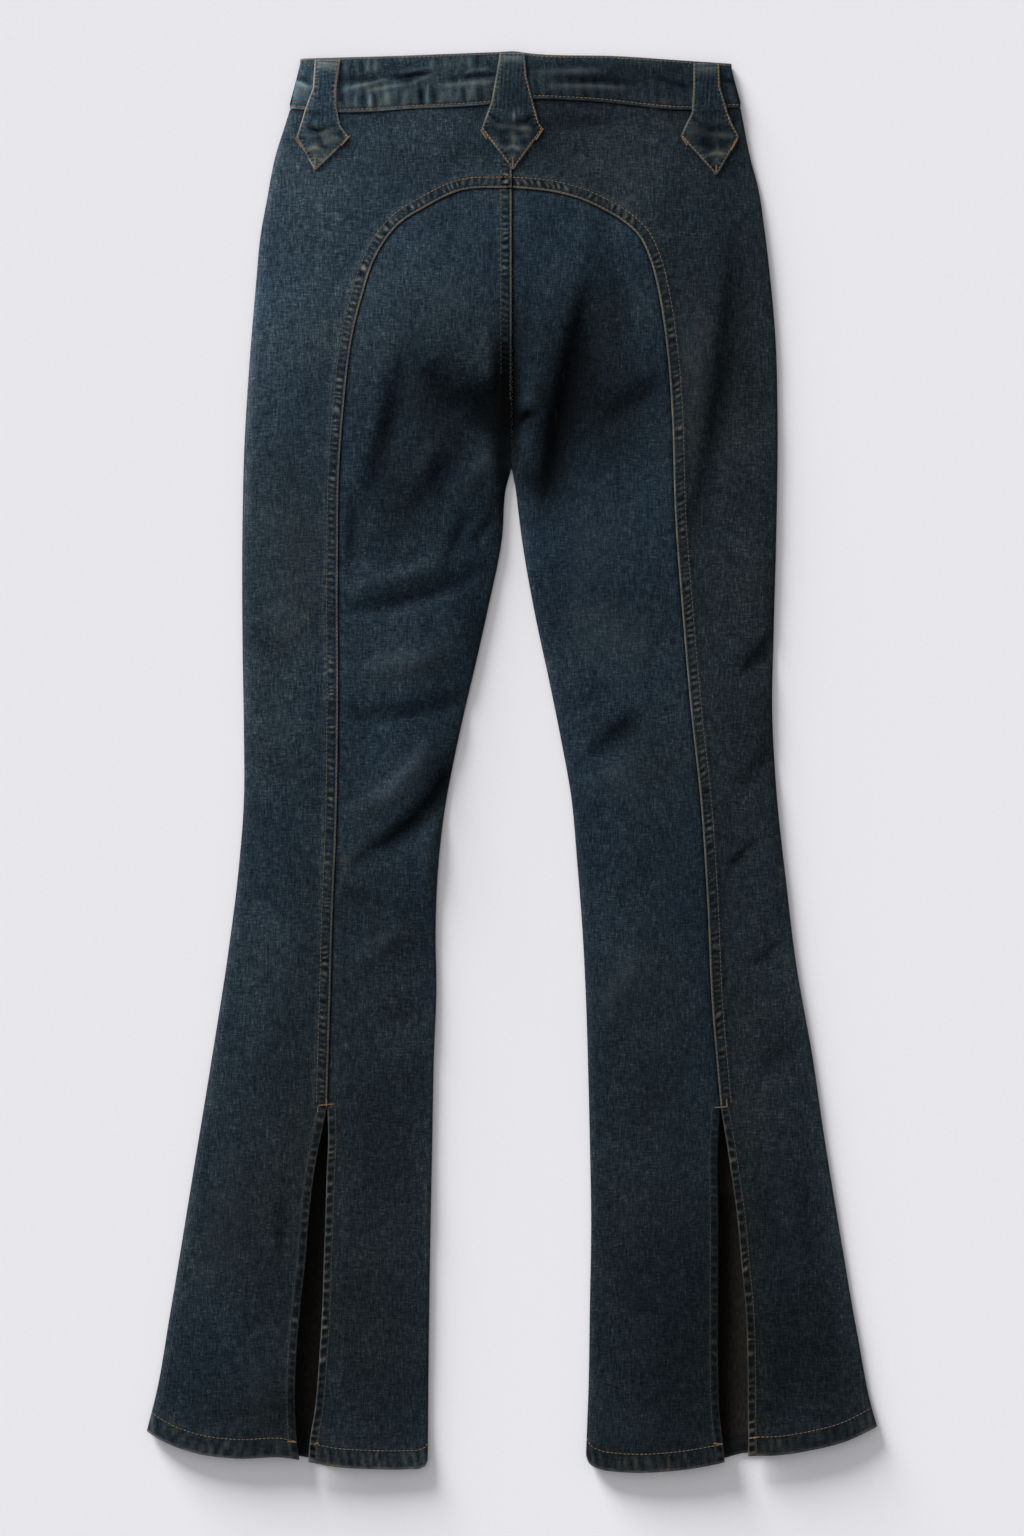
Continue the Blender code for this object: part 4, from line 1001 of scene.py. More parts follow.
def inside_denim():
    """The inside of the denim: mostly its weft, which the overdye has made a dull olive-brown."""
    finish, tree, shader, place = new_finish("inside_denim", 0.95, 0.04)
    scaled = add(tree, "ShaderNodeMapping", {}, {"Vector": place, "Scale": (700, 160, 700)})
    grain = add(tree, "ShaderNodeTexNoise", {}, {"Vector": scaled, "Scale": 1.0, "Detail": 3.0})
    colour = add(tree, "ShaderNodeValToRGB", {}, {"Fac": grain}, stops=((0.3, "#242220"), (0.7, "#3a3732")))
    # The shade attribute darkens it: painted shade where the inside lies in shadow.
    shade = add(tree, "ShaderNodeAttribute", {"attribute_name": "shade"}, output="Fac")
    darkening = {"operation": "MULTIPLY_ADD", "use_clamp": True}
    dark = add(tree, "ShaderNodeMath", darkening, {0: shade, 1: -0.8, 2: 1.0})
    colour = add(tree, "ShaderNodeVectorMath", {"operation": "SCALE"}, {0: colour, "Scale": dark})
    bumped = add(tree, "ShaderNodeBump", {}, {"Height": grain, "Strength": 0.4, "Distance": 0.0004})
    tree.links.new(colour, shader.inputs["Base Color"])
    tree.links.new(bumped, shader.inputs["Normal"])
    return finish


def sewing_thread():
    """Sewing thread: cotton-wrapped polyester, orange. Washing has dulled it to tan in places, and the
    overdye has made it nearly as dark as the cloth in others."""
    finish, tree, shader, place = new_finish("sewing_thread", 0.75)
    tone = add(tree, "ShaderNodeAttribute", {"attribute_name": "tone"}, output="Fac")
    stops = ((0, "#23272a"), (1, "#94632e"), (0.12, "#3b3a33"), (0.35, "#544a3a"), (0.7, "#6e5533"))
    colour = add(tree, "ShaderNodeValToRGB", {}, {"Fac": tone}, stops=stops)
    grain = add(tree, "ShaderNodeTexNoise", {}, {"Vector": place, "Scale": 900.0, "Detail": 2.0})
    bright = add(tree, "ShaderNodeMapRange", {}, {"Value": grain, 3: 0.7, 4: 1.25, 1: 0.3, 2: 0.7})
    colour = add(tree, "ShaderNodeVectorMath", {"operation": "SCALE"}, {0: colour, "Scale": bright})
    tree.links.new(colour, shader.inputs["Base Color"])
    shader.inputs["Sheen Weight"].default_value = 0.1
    return finish


def antique_brass():
    """Brass, stamped and chemically darkened: a dull brown metal, brighter on its rubbed edges."""
    finish, tree, shader, place = new_finish("antique_brass", 0.4)
    grain = add(tree, "ShaderNodeTexNoise", {}, {"Vector": place, "Scale": 600.0, "Detail": 3.0})
    colour = add(tree, "ShaderNodeValToRGB", {}, {"Fac": grain}, stops=((0.35, "#4b3a24"), (0.7, "#8a6c42")))
    rough = add(tree, "ShaderNodeMapRange", {}, {"Value": grain, 3: 0.32, 4: 0.55})
    tree.links.new(colour, shader.inputs["Base Color"])
    tree.links.new(rough, shader.inputs["Roughness"])
    shader.inputs["Metallic"].default_value = 1.0
    return finish


DENIM_STOPS = (
    (0.0, "#0c1115"), (1.0, "#77736a"), (0.3, "#182129"), (0.5, "#26323b"), (0.68, "#374249"),
    (0.85, "#50585a"),
)
BAND_STOPS = (
    (0.0, "#0c131a"), (1.0, "#7f7c74"), (0.3, "#1a2630"), (0.5, "#293843"), (0.68, "#3e4b53"),
    (0.85, "#5c6261"),
)
FINISHES = {
    "denim": denim("denim", DENIM_STOPS),
    "waistband_denim": denim("waistband_denim", BAND_STOPS, "#6c8088", "#80847c"),
    "loop_denim": denim("loop_denim", BAND_STOPS, "#748286", "#948d7c"),
    "inside_denim": inside_denim(),
    "stitching": sewing_thread(),
    "antique_brass": antique_brass(),
}


def declare(made, node):
    """Attaches a piece of cloth to the root body and hides the node that it stands for."""
    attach(made, "root")
    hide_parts(node)


# ---- Grids ----

FINE = np.array([0, 0.25, 0.5, 0.8, 1.1, 1.5, 2.0, 2.6, 3.3, 4.1, 5.0, 6.0])  # close steps in from an edge
FOLD_COLUMNS = FOLD_RADIUS * (1 - np.cos(np.radians(np.linspace(0, 90, 9))))
WAIST_COLUMNS = np.array([0, 0.3, 0.7, 1.2, 1.9, 2.8, 4.0, 5.5, 7.5])
LAP_COLUMNS = np.array(
    [15, 13, 11.5, 10.5, 9.8, 9.1, 8.4, 7.5, 6.6, 5.8, 5, 4, 3.2, 2.6, 2.1, 1.7, 1.3, 0.9, 0.5, 0.2, 0]
)
SEAM_COLUMNS = np.array([0, 0.25, 0.5, 0.9, 1.4, 2, 2.7, 3.5, 4.4, 5.4, 6.6, 7.8, 9, 10.5, 12.5])
INSEAM_COLUMNS = np.array(
    [12.5, 10.8, 9.8, 9.1, 8.4, 7.4, 6.3, 5.2, 4.3, 3.6, 2.9, 2.25, 1.7, 1.2, 0.75, 0.45, 0.2, 0.05, 0]
)
SIDE_COLUMNS, INNER_COLUMNS, FRONT_COLUMNS = 25, 31, 25  # in the middle of each panel
HEM_FADE = 110.0  # the height over which a grid's rows bend to follow the hem
WAIST_FADE = (60.0, 200.0)  # and down the front, those to follow its waist seam
ARCH_FADE = 130.0  # and down an inner panel, those to follow the arch
CORNER = 10.0  # how far from the corner of the waist and the side seam the grid's edge turns
SIDE_LEG_START = SLIT_TOP - 12  # where the rows of a side panel's outer edge start to follow the slit's


def spaced(length, fine_start=False, fine_end=False, step=STEP):
    """Distances from 0 to a length, a step apart, and closer at a fine end."""
    start = FINE if fine_start else FINE[:1]
    end = length - (FINE[::-1] if fine_end else FINE[:1])
    between = np.linspace(start[-1], end[0], int(np.ceil((end[0] - start[-1]) / step)) + 1)
    return np.concatenate([start[:-1], between, end[1:]])


def matched(from_end, total, other_total, kept=22.0):
    """Distances from the hem along one edge, for those along another: the same near the hem, stretched
    evenly above."""
    stretched = kept + (from_end - kept) * (other_total - kept) / (total - kept)
    return np.where(from_end < kept, from_end, stretched)


def normals(path):
    """The unit normal at each point of a path, to the left of its way along."""
    way = np.gradient(path, axis=0)
    way /= np.linalg.norm(way, axis=1, keepdims=True)
    return np.stack([way[:, 1], -way[:, 0]], axis=-1)


def arch_size(side):
    return reach(np.stack([ARCH[side]["x"], ARCH[side]["down"]], axis=-1))[-1]


def panel_run(side, panel, start):
    """The lengths along the arched seam, from a start, and on along the slit, at which a panel's rows lie."""
    arch, slit = arch_size(side), hem_down(side, SLIT[side][panel][-1]) - SLIT_TOP
    on_arch, on_slit = start + spaced(arch - start, fine_start=True), arch + spaced(slit, fine_end=True)[1:]
    return odd(np.concatenate([on_arch, on_slit]))


def seam_edge(side, panel, run):
    """A panel's edge at each length of its run, half a gap from the seam's line, and the directions that
    lead out from it over the side panel."""
    arch = arch_size(side)
    down = SLIT_TOP + np.maximum(run - arch, 0)
    slit = np.stack([read(SLIT[side], panel, down), down], axis=-1)
    path = np.where((run > arch)[:, None], slit, along(ARCH[side], np.minimum(run / arch, 1)))
    outwards = normals(path) * SIGN[side]
    outwards[:, 0] *= ease(run, 0, 12)
    path = path + outwards * (SEAM_GAP / 2 if panel == "side" else -SEAM_GAP / 2)
    path[:, 0] = SIGN[side] * np.maximum(np.abs(path[:, 0]), SEAM_GAP / 2)
    return path, outwards


def joined(start, end, near, far, count):
    """A grid whose rows run straight from one edge to another: its columns lie at fixed distances from each
    edge, with a number of even ones between."""
    width = np.abs(end[:, :1] - start[:, :1])
    first, last = near / width, 1 - far / width
    middle = first[:, -1:] + (last[:, :1] - first[:, -1:]) * np.linspace(0, 1, count + 2)[1:-1]
    shares = np.concatenate([first, middle, last], axis=1)[..., None]
    return start[:, None] * (1 - shares) + end[:, None] * shares


def bend_to_hem(side, points, from_hem, lift=0.0):
    """Bends the last rows of a grid to the curve of the hem, and fades that out up the leg."""
    change = hem_down(side, points[-1, :, 0]) - lift - points[-1, :, 1]
    points[..., 1] += change[None, :] * ease(-from_hem, -HEM_FADE, -HEM_WIDTH - 2)[:, None]
    return points


def from_path(points, path):
    """The distance of each point from a path of straight pieces, and how far along it the nearest is."""
    start, way = path[:-1], np.diff(path, axis=0)
    size = np.linalg.norm(way, axis=1)
    share = np.clip(((points[:, None] - start) * way).sum(-1) / size**2, 0, 1)
    gap = np.linalg.norm(points[:, None] - start - share[..., None] * way, axis=-1)
    nearest = gap.argmin(axis=1)
    every = np.arange(len(points))
    return gap[every, nearest], reach(path)[nearest] + share[every, nearest] * size[nearest]


def on_back(x, down, rise=0.0):
    """The height of the back's outer face, with what a seam adds to it."""
    return back_outside(x, down, room(x, down), DENIM, rise)


# ---- The back panels ----


def back_shell(side, part, points, detail, from_hem, warmth):
    """A back panel from its grid (x, down) and the rise, wear and shade of its seams and edges. The folds'
    ridges are painted a little paler and their troughs darker, as painted light and shade. The inner face
    shows the right side of the cloth in the hem."""
    x, down = points[..., 0], points[..., 1]
    folds = fold_heights(x, down, FOLDS)
    # Painted light on the folds' ridges, with rubbed edges at the outline; below, painted shade in the folds'
    # troughs.
    wear = detail[1] + 0.04 * np.clip(folds, 0, 3) + 0.05 * bell(from_outline(x, down) - 1.5, 3)
    shade = detail[2] + np.clip(-0.19 * folds, 0, 1.25)
    outside = np.dstack([points, on_back(x, down, detail[0])])
    under_x, under_down = inner_face(points, DENIM)
    under_hem = from_hem[::2, None]
    lining = np.broadcast_to(under_hem >= HEM_WIDTH, under_x.shape).astype(int)
    lower = 0.5 * HEM_RISE * fall(under_hem, HEM_WIDTH, HEM_WIDTH + 2)
    heights = back_inside(under_x, under_down, room(under_x, under_down), DENIM, lower)
    inside = np.dstack([under_x, under_down, heights])
    name, finishes = f"back_{part}_{side}", [FINISHES["denim"], FINISHES["inside_denim"]]
    made = shell(f"{name}_cloth", outside, inside, finishes, wear, shade, warmth, lining)
    declare(made, name)
    return outside


def edge_detail(side, seam, x, distance, length, run, worn, seed):
    """The detail of a panel: its seam's, then its slit's, and its hem's. worn says how much the slit's edge
    is rubbed at its top and its foot, where the corner is rubbed too."""
    arch, from_hem = arch_size(side), (run[-1] - run)[:, None]
    at_slit = ease(run - arch, -4, 5)[:, None]
    rubbed = worn[0] + (worn[1] - worn[0]) * ease(run, arch, run[-1])[:, None]
    detail = seam(distance, length, seed) * (1 - at_slit)
    detail += turned_detail(distance, run[:, None], seed + 40, rubbed) * at_slit
    detail += hem_detail(from_hem, x, seed + 60)
    detail[1] += worn[1] * bell(from_hem - 1, 4) * bell(distance - 1, 4)
    return detail


def below_band(x, down):
    """Beside the waistband's lower edge a panel dips, with a painted shadow along it."""
    near = down - waist_down(x)
    return np.stack([-0.25 * bell(near, 3), np.zeros_like(x), 0.7 * bell(near, 2.4)])


def hem_stitches(thread, surface, from_hem, column, way, seed):
    """The row of stitches along a back panel's hem, and a bar tack that leads away from the slit."""
    thread.row(line_at(surface.swapaxes(0, 1), from_hem, HEM_ROW), **HEM_THREAD, seed=seed)
    corner = surface[np.abs(from_hem - HEM_ROW).argmin(), column, :2]
    start, end = corner + (way * 0.8, 0), corner + (way * 7.0, -0.6)
    thread.bar(start, end, lambda x, down: on_back(x, down, TURN_RISE + 0.2), 1.0)


def side_grid(side, run, shoulder):
    """The side panel's points, and how far each is from its seam. Its rows join the waist seam, down to the
    shoulder of the arch, and then the outer edge, to the arched seam and the slit; near the seam its columns
    lie at fixed distances from it."""
    sign, arch = SIGN[side], arch_size(side)
    seam, outwards = seam_edge(side, "side", run)
    corner_x, corner_down = abs(OUTER_EDGE[side]["x"][1]), OUTER_EDGE[side]["down"][1] + SEAM_GAP
    hem_corner, from_hem = OUTER_EDGE[side]["down"][-1], run[-1] - run
    waist_x = sign * (SEAM_GAP / 2 + (corner_x - SEAM_GAP / 2) * np.clip(run / shoulder, 0, 1))
    upper = corner_down + (SIDE_LEG_START - corner_down) * np.clip((run - shoulder) / (arch - shoulder), 0, 1)
    lower = hem_corner - matched(from_hem, run[-1] - arch, hem_corner - SIDE_LEG_START)
    outer_down = np.where(run > arch, lower, upper)
    waist = np.stack([waist_x, waist_down(waist_x) + SEAM_GAP], axis=-1)
    edge = np.stack([outer_x(side, outer_down), outer_down], axis=-1)
    outer = np.where((run < shoulder)[:, None], waist, edge)
    past_corner = np.where(run < shoulder, np.abs(waist_x) - corner_x, outer_down - corner_down)
    lean, drop = np.clip(1 + past_corner / CORNER, 0, 1), np.clip(1 - past_corner / CORNER, 0, 1)
    inwards = np.stack([-sign * lean, drop], axis=-1)
    folded = ease(past_corner, -CORNER, CORNER)[:, None]
    steps = WAIST_COLUMNS * (1 - folded) + FOLD_COLUMNS * folded
    edge_points = outer[:, None] + steps[..., None] * inwards[:, None]
    lap_points = seam[:, None] + LAP_COLUMNS[None, :, None] * outwards[:, None]
    shares = np.linspace(0, 1, SIDE_COLUMNS + 2)[1:-1]
    middle = edge_points[:, -1:] + shares[None, :, None] * (lap_points[:, :1] - edge_points[:, -1:])
    points = np.concatenate([edge_points, middle, lap_points], axis=1)
    distance = LAP_COLUMNS[0] + np.linalg.norm(points - lap_points[:, :1], axis=-1)
    distance[:, -len(LAP_COLUMNS):] = LAP_COLUMNS
    return bend_to_hem(side, points, from_hem), distance


def side_panel(side, warmth, worn, seed):
    """The side panel: a strip that bends round the arched seam, from the centre back to the hem."""
    arch = arch_size(side)
    shoulder, run = SHOULDER[side] * arch, panel_run(side, "side", 0.0)
    from_hem = run[-1] - run
    points, distance = side_grid(side, run, shoulder)
    x, down = points[..., 0], points[..., 1]
    detail = edge_detail(side, lap_detail, x, distance, run[:, None], run, worn, seed) + below_band(x, down)
    detail += CENTRE_DETAIL[side](np.abs(x), down, seed + 80) * (run < shoulder)[:, None]
    surface = back_shell(side, "side", points, detail, from_hem, warmth)

    thread, near, on_arch = Thread(), surface[:, -len(LAP_COLUMNS):], run < arch - 1
    faded = (0.62 - 0.5 * ease(run, 0.8 * shoulder, 1.8 * shoulder))[on_arch]
    for number, row in enumerate(SEAM_ROWS):
        line = line_at(near, LAP_COLUMNS, row)[on_arch]
        thread.row(line, faded + 0.08 * number, seed + number, LAP_THREAD)
    slit_line = line_at(near, LAP_COLUMNS, SLIT_ROW)[~on_arch]
    thread.row(slit_line, 0.0 if side == "left" else 0.15, seed + 2, SLIT_THREAD)
    hem_stitches(thread, surface, from_hem, -1, SIGN[side], seed + 3)
    if side == "left":
        down = np.arange(OUTSEAM_START, OUTER_EDGE[side]["down"][-1] - HEM_ROW, 3.0)
        x = outer_x(side, down) + OUTSEAM_ROW
        thread.row(np.column_stack([x, down, on_back(x, down)]), **OUTSEAM_THREAD, seed=seed + 4)
    thread.make(f"stitches_side_{side}")


def inner_grid(side, run, shoulder):
    """The inner panel's points, how far each is from the arched seam and slit and how far along them, and
    the distances down of its rows at the centre back seam and inseam. Its top follows the arch."""
    arch, from_hem = arch_size(side), run[-1] - run
    seam = seam_edge(side, "inner", run)[0]
    top, end = JUNCTION_DOWN + SEAM_GAP, INNER_EDGE[side]["down"][-1]
    upper = top + (SLIT_TOP - top) * np.clip((run - shoulder) / (arch - shoulder), 0, 1)
    lower = end - matched(from_hem, run[-1] - arch, end - SLIT_TOP)
    inner_down = np.where(run > arch, lower, upper)
    inner = np.stack([inner_x(side, inner_down), inner_down], axis=-1)
    points = joined(seam, inner, SEAM_COLUMNS, INSEAM_COLUMNS, INNER_COLUMNS)
    arch_line = seam_edge(side, "inner", np.linspace(0, shoulder, 120))[0]
    arch_line = arch_line[np.argsort(arch_line[:, 0])]
    top_down = np.interp(points[0, :, 0], arch_line[:, 0], arch_line[:, 1])
    bend = fall(seam[:, 1], seam[0, 1], seam[0, 1] + ARCH_FADE)
    points[..., 1] += (top_down - points[0, :, 1])[None, :] * bend[:, None]
    edge_line = seam_edge(side, "inner", np.append(np.arange(0, run[-1], 3.0), run[-1]))[0]
    near = [from_path(row, edge_line) for row in points]
    distance, length = (np.stack([part[number] for part in near]) for number in (0, 1))
    return points, distance, length, inner_down


def inner_panel(side, warmth, worn, seed):
    """The inner panel: the seat and the inside of the leg, from the arched seam and the slit to the centre
    back seam and the inseam."""
    arch = arch_size(side)
    shoulder = SHOULDER[side] * arch
    run = panel_run(side, "inner", shoulder)
    from_hem = run[-1] - run
    points, distance, length, inner_down = inner_grid(side, run, shoulder)
    from_middle = np.abs(points[..., 0] - inner_x(side, points[..., 1]))
    points = bend_to_hem(side, points, from_hem)
    x, down = points[..., 0], points[..., 1]
    detail = edge_detail(side, under_detail, x, distance, length, run, worn, seed)
    centre = CENTRE_DETAIL[side](from_middle, down, seed + 80)
    detail += centre * fall(down, SEAT_END - 4, SEAT_END + 14)
    surface = back_shell(side, "inner", points, detail, from_hem, warmth)

    thread = Thread()
    slit_line = line_at(surface[:, :len(SEAM_COLUMNS)], SEAM_COLUMNS, SLIT_ROW)[run > arch + 1]
    thread.row(slit_line, 0.12 if side == "left" else 0.0, seed, SLIT_THREAD)
    hem_stitches(thread, surface, from_hem, 0, -SIGN[side], seed + 1)
    if side == "left":
        for number, row in enumerate(SEAM_ROWS):
            line = line_at(surface[:, -len(INSEAM_COLUMNS):], INSEAM_COLUMNS, row)
            line = line[inner_down < SEAT_END - 14 - 22 * number]
            thread.row(line, 0.5 - 0.5 * ease(line[:, 1], 130, 240), seed + 2 + number, CENTRE_THREAD)
    thread.make(f"stitches_inner_{side}")


# ---- The front panels ----


def front_panel(side, warmth, seed):
    """The front of a leg: one panel from the waistband to the hem, flat on what it lies on. Its rows join
    the outer edge to the centre front and inseam. Its inside is painted dark as shade, but for what shows
    through a slit."""
    outer_start = OUTER_EDGE[side]["down"][1] + SEAM_GAP
    inner_start = waist_down(0.0) + FRONT_DIP + SEAM_GAP
    outer_end = OUTER_EDGE[side]["down"][-1] - FRONT_HEM_LIFT
    length = INNER_EDGE[side]["down"][-1] - FRONT_HEM_LIFT - inner_start
    run = odd(spaced(length, fine_end=True, step=2 * STEP))
    from_hem = length - run
    inner_down, outer_down = inner_start + run, outer_end - matched(from_hem, length, outer_end - outer_start)
    outer = np.stack([outer_x(side, outer_down), outer_down], axis=-1)
    inner = np.stack([inner_x(side, inner_down), inner_down], axis=-1)
    points = joined(outer, inner, FOLD_COLUMNS, FOLD_COLUMNS[::-1], FRONT_COLUMNS)
    waist = waist_down(points[0, :, 0]) + front_dip(points[0, :, 0]) + 2 * SEAM_GAP
    bend = fall(points[..., 1].mean(axis=1), *WAIST_FADE)
    points[..., 1] += (waist - points[0, :, 1])[None, :] * bend[:, None]
    points = bend_to_hem(side, points, from_hem, FRONT_HEM_LIFT)

    x, down = points[..., 0], points[..., 1]
    wear, shade = hem_detail(from_hem[:, None], x, seed)[1:]
    outside = np.dstack([points, front_outside(x, down)])
    under_x, under_down = inner_face(points, DENIM)
    under_hem = from_hem[::2, None]
    rise = HEM_RISE * fall(under_hem, HEM_WIDTH - 1, HEM_WIDTH + 1)
    inside = np.dstack([under_x, under_down, front_inside(under_x, under_down, DENIM, rise)])
    lining = np.broadcast_to(under_hem >= HEM_WIDTH, under_x.shape).astype(int)
    # Painted shade: the panel's inside is dark as in shadow, and in the right slit lighter where light comes
    # in.
    painted_inside_shade = np.full_like(x, 0.97)
    if side == "right":  # the light comes into this slit from its left: paler to the right, and at the top
        beside_slit = np.clip((x - 157) / 22, 0, 1.2) ** 1.7
        painted_inside_shade = 1.2 - 0.68 * beside_slit - 0.22 * fall(down, 885, 897)
        painted_inside_shade = np.where((from_hem > HEM_WIDTH)[:, None], painted_inside_shade, 0.68)
    name, finishes = f"front_{side}", [FINISHES["denim"], FINISHES["inside_denim"]]
    made = shell(f"{name}_cloth", outside, inside, finishes, wear, np.maximum(shade, painted_inside_shade), warmth, lining)
    declare(made, name)
    thread = Thread()
    hem_line = line_at(outside.swapaxes(0, 1), from_hem, HEM_ROW) + (0, 0, 0.25)
    thread.row(hem_line, **FRONT_HEM_THREAD, seed=seed + 1)
    thread.make(f"stitches_front_{side}")


# ---- The waistband ----

BAND_STEPS = np.array([0, 0.25, 0.55, 0.9, 1.3, 1.7, 2.3, 3.0, 4.0])  # close rows, in from both its edges
BAND_MIDDLE = 25  # rows from the last close one at the top to the first at the bottom
BAND_COLUMNS, FRONT_BAND_COLUMNS = 337, 129
HALF_WAIST = OUTER_EDGE["right"]["x"][0]


def band_grid(across, folded, dip):
    """A grid over a stretch of waistband, with close rows at both its edges. across gives x at the top, as
    a share of the half width, and folded the distance in from the fold for some columns."""
    close, deep = BAND_STEPS, BAND_STEPS[-1]
    share = np.clip((np.arange(2 * len(close) + BAND_MIDDLE - 2) - len(close) + 1) / (BAND_MIDDLE - 1), 0, 1)
    share = share[:, None]
    ends = (OUTER_EDGE[side]["x"][:2] for side in ("left", "right"))
    left, right = (np.abs(start + (end - start) * share) for start, end in ends)
    x = across * np.where(across < 0, left, right)
    x -= np.sign(x) * folded
    from_top = np.concatenate([close, np.full(BAND_MIDDLE - 1, deep), 2 * deep - close[-2::-1]])
    top, bottom = waist_top(x), waist_down(x)
    down = top + from_top[:, None] + (bottom - top - 2 * deep) * share
    return np.stack([x, down + (front_dip(x) if dip else 0)], axis=-1)


def band_detail(x, down, seed, creases):
    """The waistband: a doubled strip with rounded edges, a row of stitches beside each, slanting puckers
    that rise from the lower one, upright streaks, and creases. The hollows of the puckers, streaks and
    creases are darker, partly as dye and partly as painted shade, and a dark line runs just above the lower
    row."""
    top, bottom = down - waist_top(x), waist_down(x) - down
    calm = 0.55 - 0.2 * ease(x, -15, 40)
    wave = calm * np.clip(1.5 * roping(x + 0.15 * bottom, BAND_PITCH, seed) + 0.3, -1, 1)
    tall = 0.6 + 0.4 * wander(x / 15, seed + 2)
    lower = window(bottom, 1.2, 4, 9 + 10 * tall, 15 + 15 * tall)
    stripes = calm * roping(x - 0.1 * down, STRIPE_PITCH, seed + 6) * ease(top, 1, 5)
    stripes = stripes * (0.5 + 0.5 * wander(x / 21 + 0.06 * down, seed + 8))
    small = roping(x, 4.6, seed + 3) * bell(top - 3.2, 2.2)
    stain = dapple(x, 1.8 * down, 12, seed + 5)
    rise = (
        -0.9 * (1 - turn_over(top, 1.4))
        - 0.7 * (1 - turn_over(bottom, 1.1))
        - 0.25 * (bell(top - BAND_ROWS[0], 0.6) + bell(bottom - BAND_ROWS[1], 0.6))
        + 0.34 * wave * lower + 0.12 * small + 1.6 * creases + 0.24 * stripes
        + 0.5 * dapple(x, 1.6 * down, 24, seed + 4)
    )
    wear = (
        0.8 * bell(top - 0.5, 0.8)
        + (0.75 - 0.45 * ease(x, -10, 60)) * bell(bottom - 0.6, 0.8)
        + 0.45 * crests(wave) * lower + 0.3 * crests(small) + 1.7 * crests(creases) + 0.5 * crests(stripes)
        + 0.22 * crests(stain) * np.clip(-x / 90, 0.3, 1)
    )
    shade = (
        0.9 * hollows(wave + 0.1) * lower + 1.7 * hollows(creases) + 0.8 * hollows(stripes)
        + 0.4 * bell(bottom - BAND_ROWS[1] - 1.2, 0.9)
        + 0.4 * hollows(stain)
    )
    return rise, wear, shade


def waistband_back(seed):
    """The back of the waistband, from fold to fold."""
    end = 1 - FOLD_COLUMNS[-1] / HALF_WAIST
    folds = np.ones(len(FOLD_COLUMNS))
    across = np.concatenate([-folds, np.linspace(-end, end, BAND_COLUMNS)[1:-1], folds])
    folded = np.concatenate([FOLD_COLUMNS, np.zeros(BAND_COLUMNS - 2), FOLD_COLUMNS[::-1]])
    points = band_grid(across, folded, False)
    x, down = points[..., 0], points[..., 1]
    rise, wear, shade = band_detail(x, down, seed, fold_heights(x, down, BAND_CREASES))
    outside = np.dstack([points, back_outside(x, down, BAND_ROOM, BAND_THICKNESS, rise)])
    under = inner_face(points, BAND_THICKNESS)
    inside = np.dstack([*under, back_inside(*under, BAND_ROOM, BAND_THICKNESS)])
    finishes = [FINISHES["waistband_denim"]] * 2
    made = shell("waistband_back_cloth", outside, inside, finishes, wear, shade, BAND_WARMTH)
    declare(made, "waistband_back")
    thread, close = Thread(), len(BAND_STEPS)
    upper, lower = outside[:close].swapaxes(0, 1), outside[-close:].swapaxes(0, 1)
    thread.row(line_at(upper, BAND_STEPS, BAND_ROWS[0]), **BAND_THREAD, seed=seed + 10)
    thread.row(line_at(lower, BAND_STEPS[::-1], BAND_ROWS[1]), **BAND_THREAD, seed=seed + 11)
    thread.make("stitches_waistband_back")


def waistband_front(side, seed):
    """Half of the front of the waistband. The left half's end laps past the centre front."""
    sign = SIGN[side]
    lap = LAP_END + sign * SEAM_GAP / 2
    end = sign * (1 - FOLD_COLUMNS[-1] / HALF_WAIST)
    spread = np.linspace(lap / HALF_WAIST, end, FRONT_BAND_COLUMNS)[:-1]
    across = np.concatenate([spread, np.full(len(FOLD_COLUMNS), float(sign))])
    folded = np.concatenate([np.zeros(len(spread)), FOLD_COLUMNS[::-1]])
    points = band_grid(across, folded, True)
    points[:, 0, 0] = lap
    x, down = points[..., 0], points[..., 1]
    wear, shade = band_detail(x, down - front_dip(x), seed, np.zeros_like(x))[1:]
    outside = np.dstack([points, front_outside(x, down)])
    under = inner_face(points, BAND_THICKNESS)
    inside = np.dstack([*under, front_inside(*under, BAND_THICKNESS)])
    name, finishes = f"waistband_front_{side}", [FINISHES["waistband_denim"]] * 2
    made = shell(f"{name}_cloth", outside, inside, finishes, wear, shade, FRONT_BAND_WARMTH)
    declare(made, name)


# ---- The belt loops ----

LOOP_COLUMNS = np.array([0, 0.2, 0.45, 0.8, 1.25, 1.8, 2.5, 3.4])
# The ends of each bar tack: x and down, twice.
LOOP_TACKS = {
    "left": ((-152.9, 84, -152.9, 91.3), (-168.5, 68.3, -163.8, 75.7), (-126.4, 67.1, -132.6, 74.1)),
    "centre": ((0.8, 84, 0.8, 91.4), (-24.2, 62.4, -19.5, 69.4), (24.2, 61.6, 18.7, 70.2)),
    "right": ((159, 90, 159, 95), (132.6, 68.6, 136.4, 74), (175.2, 69.6, 170.4, 78.2)),
}


def surface_top(x, down):
    """The height of what a belt loop lies on: the waistband, then the panel below it, eased together."""
    band = back_outside(x, down, BAND_ROOM, BAND_THICKNESS)
    panel = on_back(x, down)
    share = ease(-down, -waist_down(x) - 6, -waist_down(x))
    return np.maximum(band * share + panel * (1 - share), panel)


def loop_base(name, x, down):
    """The height of a loop's inner face: just off what it lies on, and bowed where a belt goes through."""
    top = LOOPS[name]["down"][0]
    middle = np.clip((down - top) / (waist_down(x) - top), 0, 1)
    return surface_top(x, down) + LOOP_GAP + LOOP_BOW * np.sin(np.pi * middle)


def loop_outline(name):
    """The outline of a loop: down its left edge to the tip of its arrow and up its right edge."""
    rows = LOOPS[name]
    left = np.stack([rows["left"], rows["down"]], axis=-1)
    right = np.stack([rows["right"], rows["down"]], axis=-1)[::-1]
    return np.concatenate([left, right])


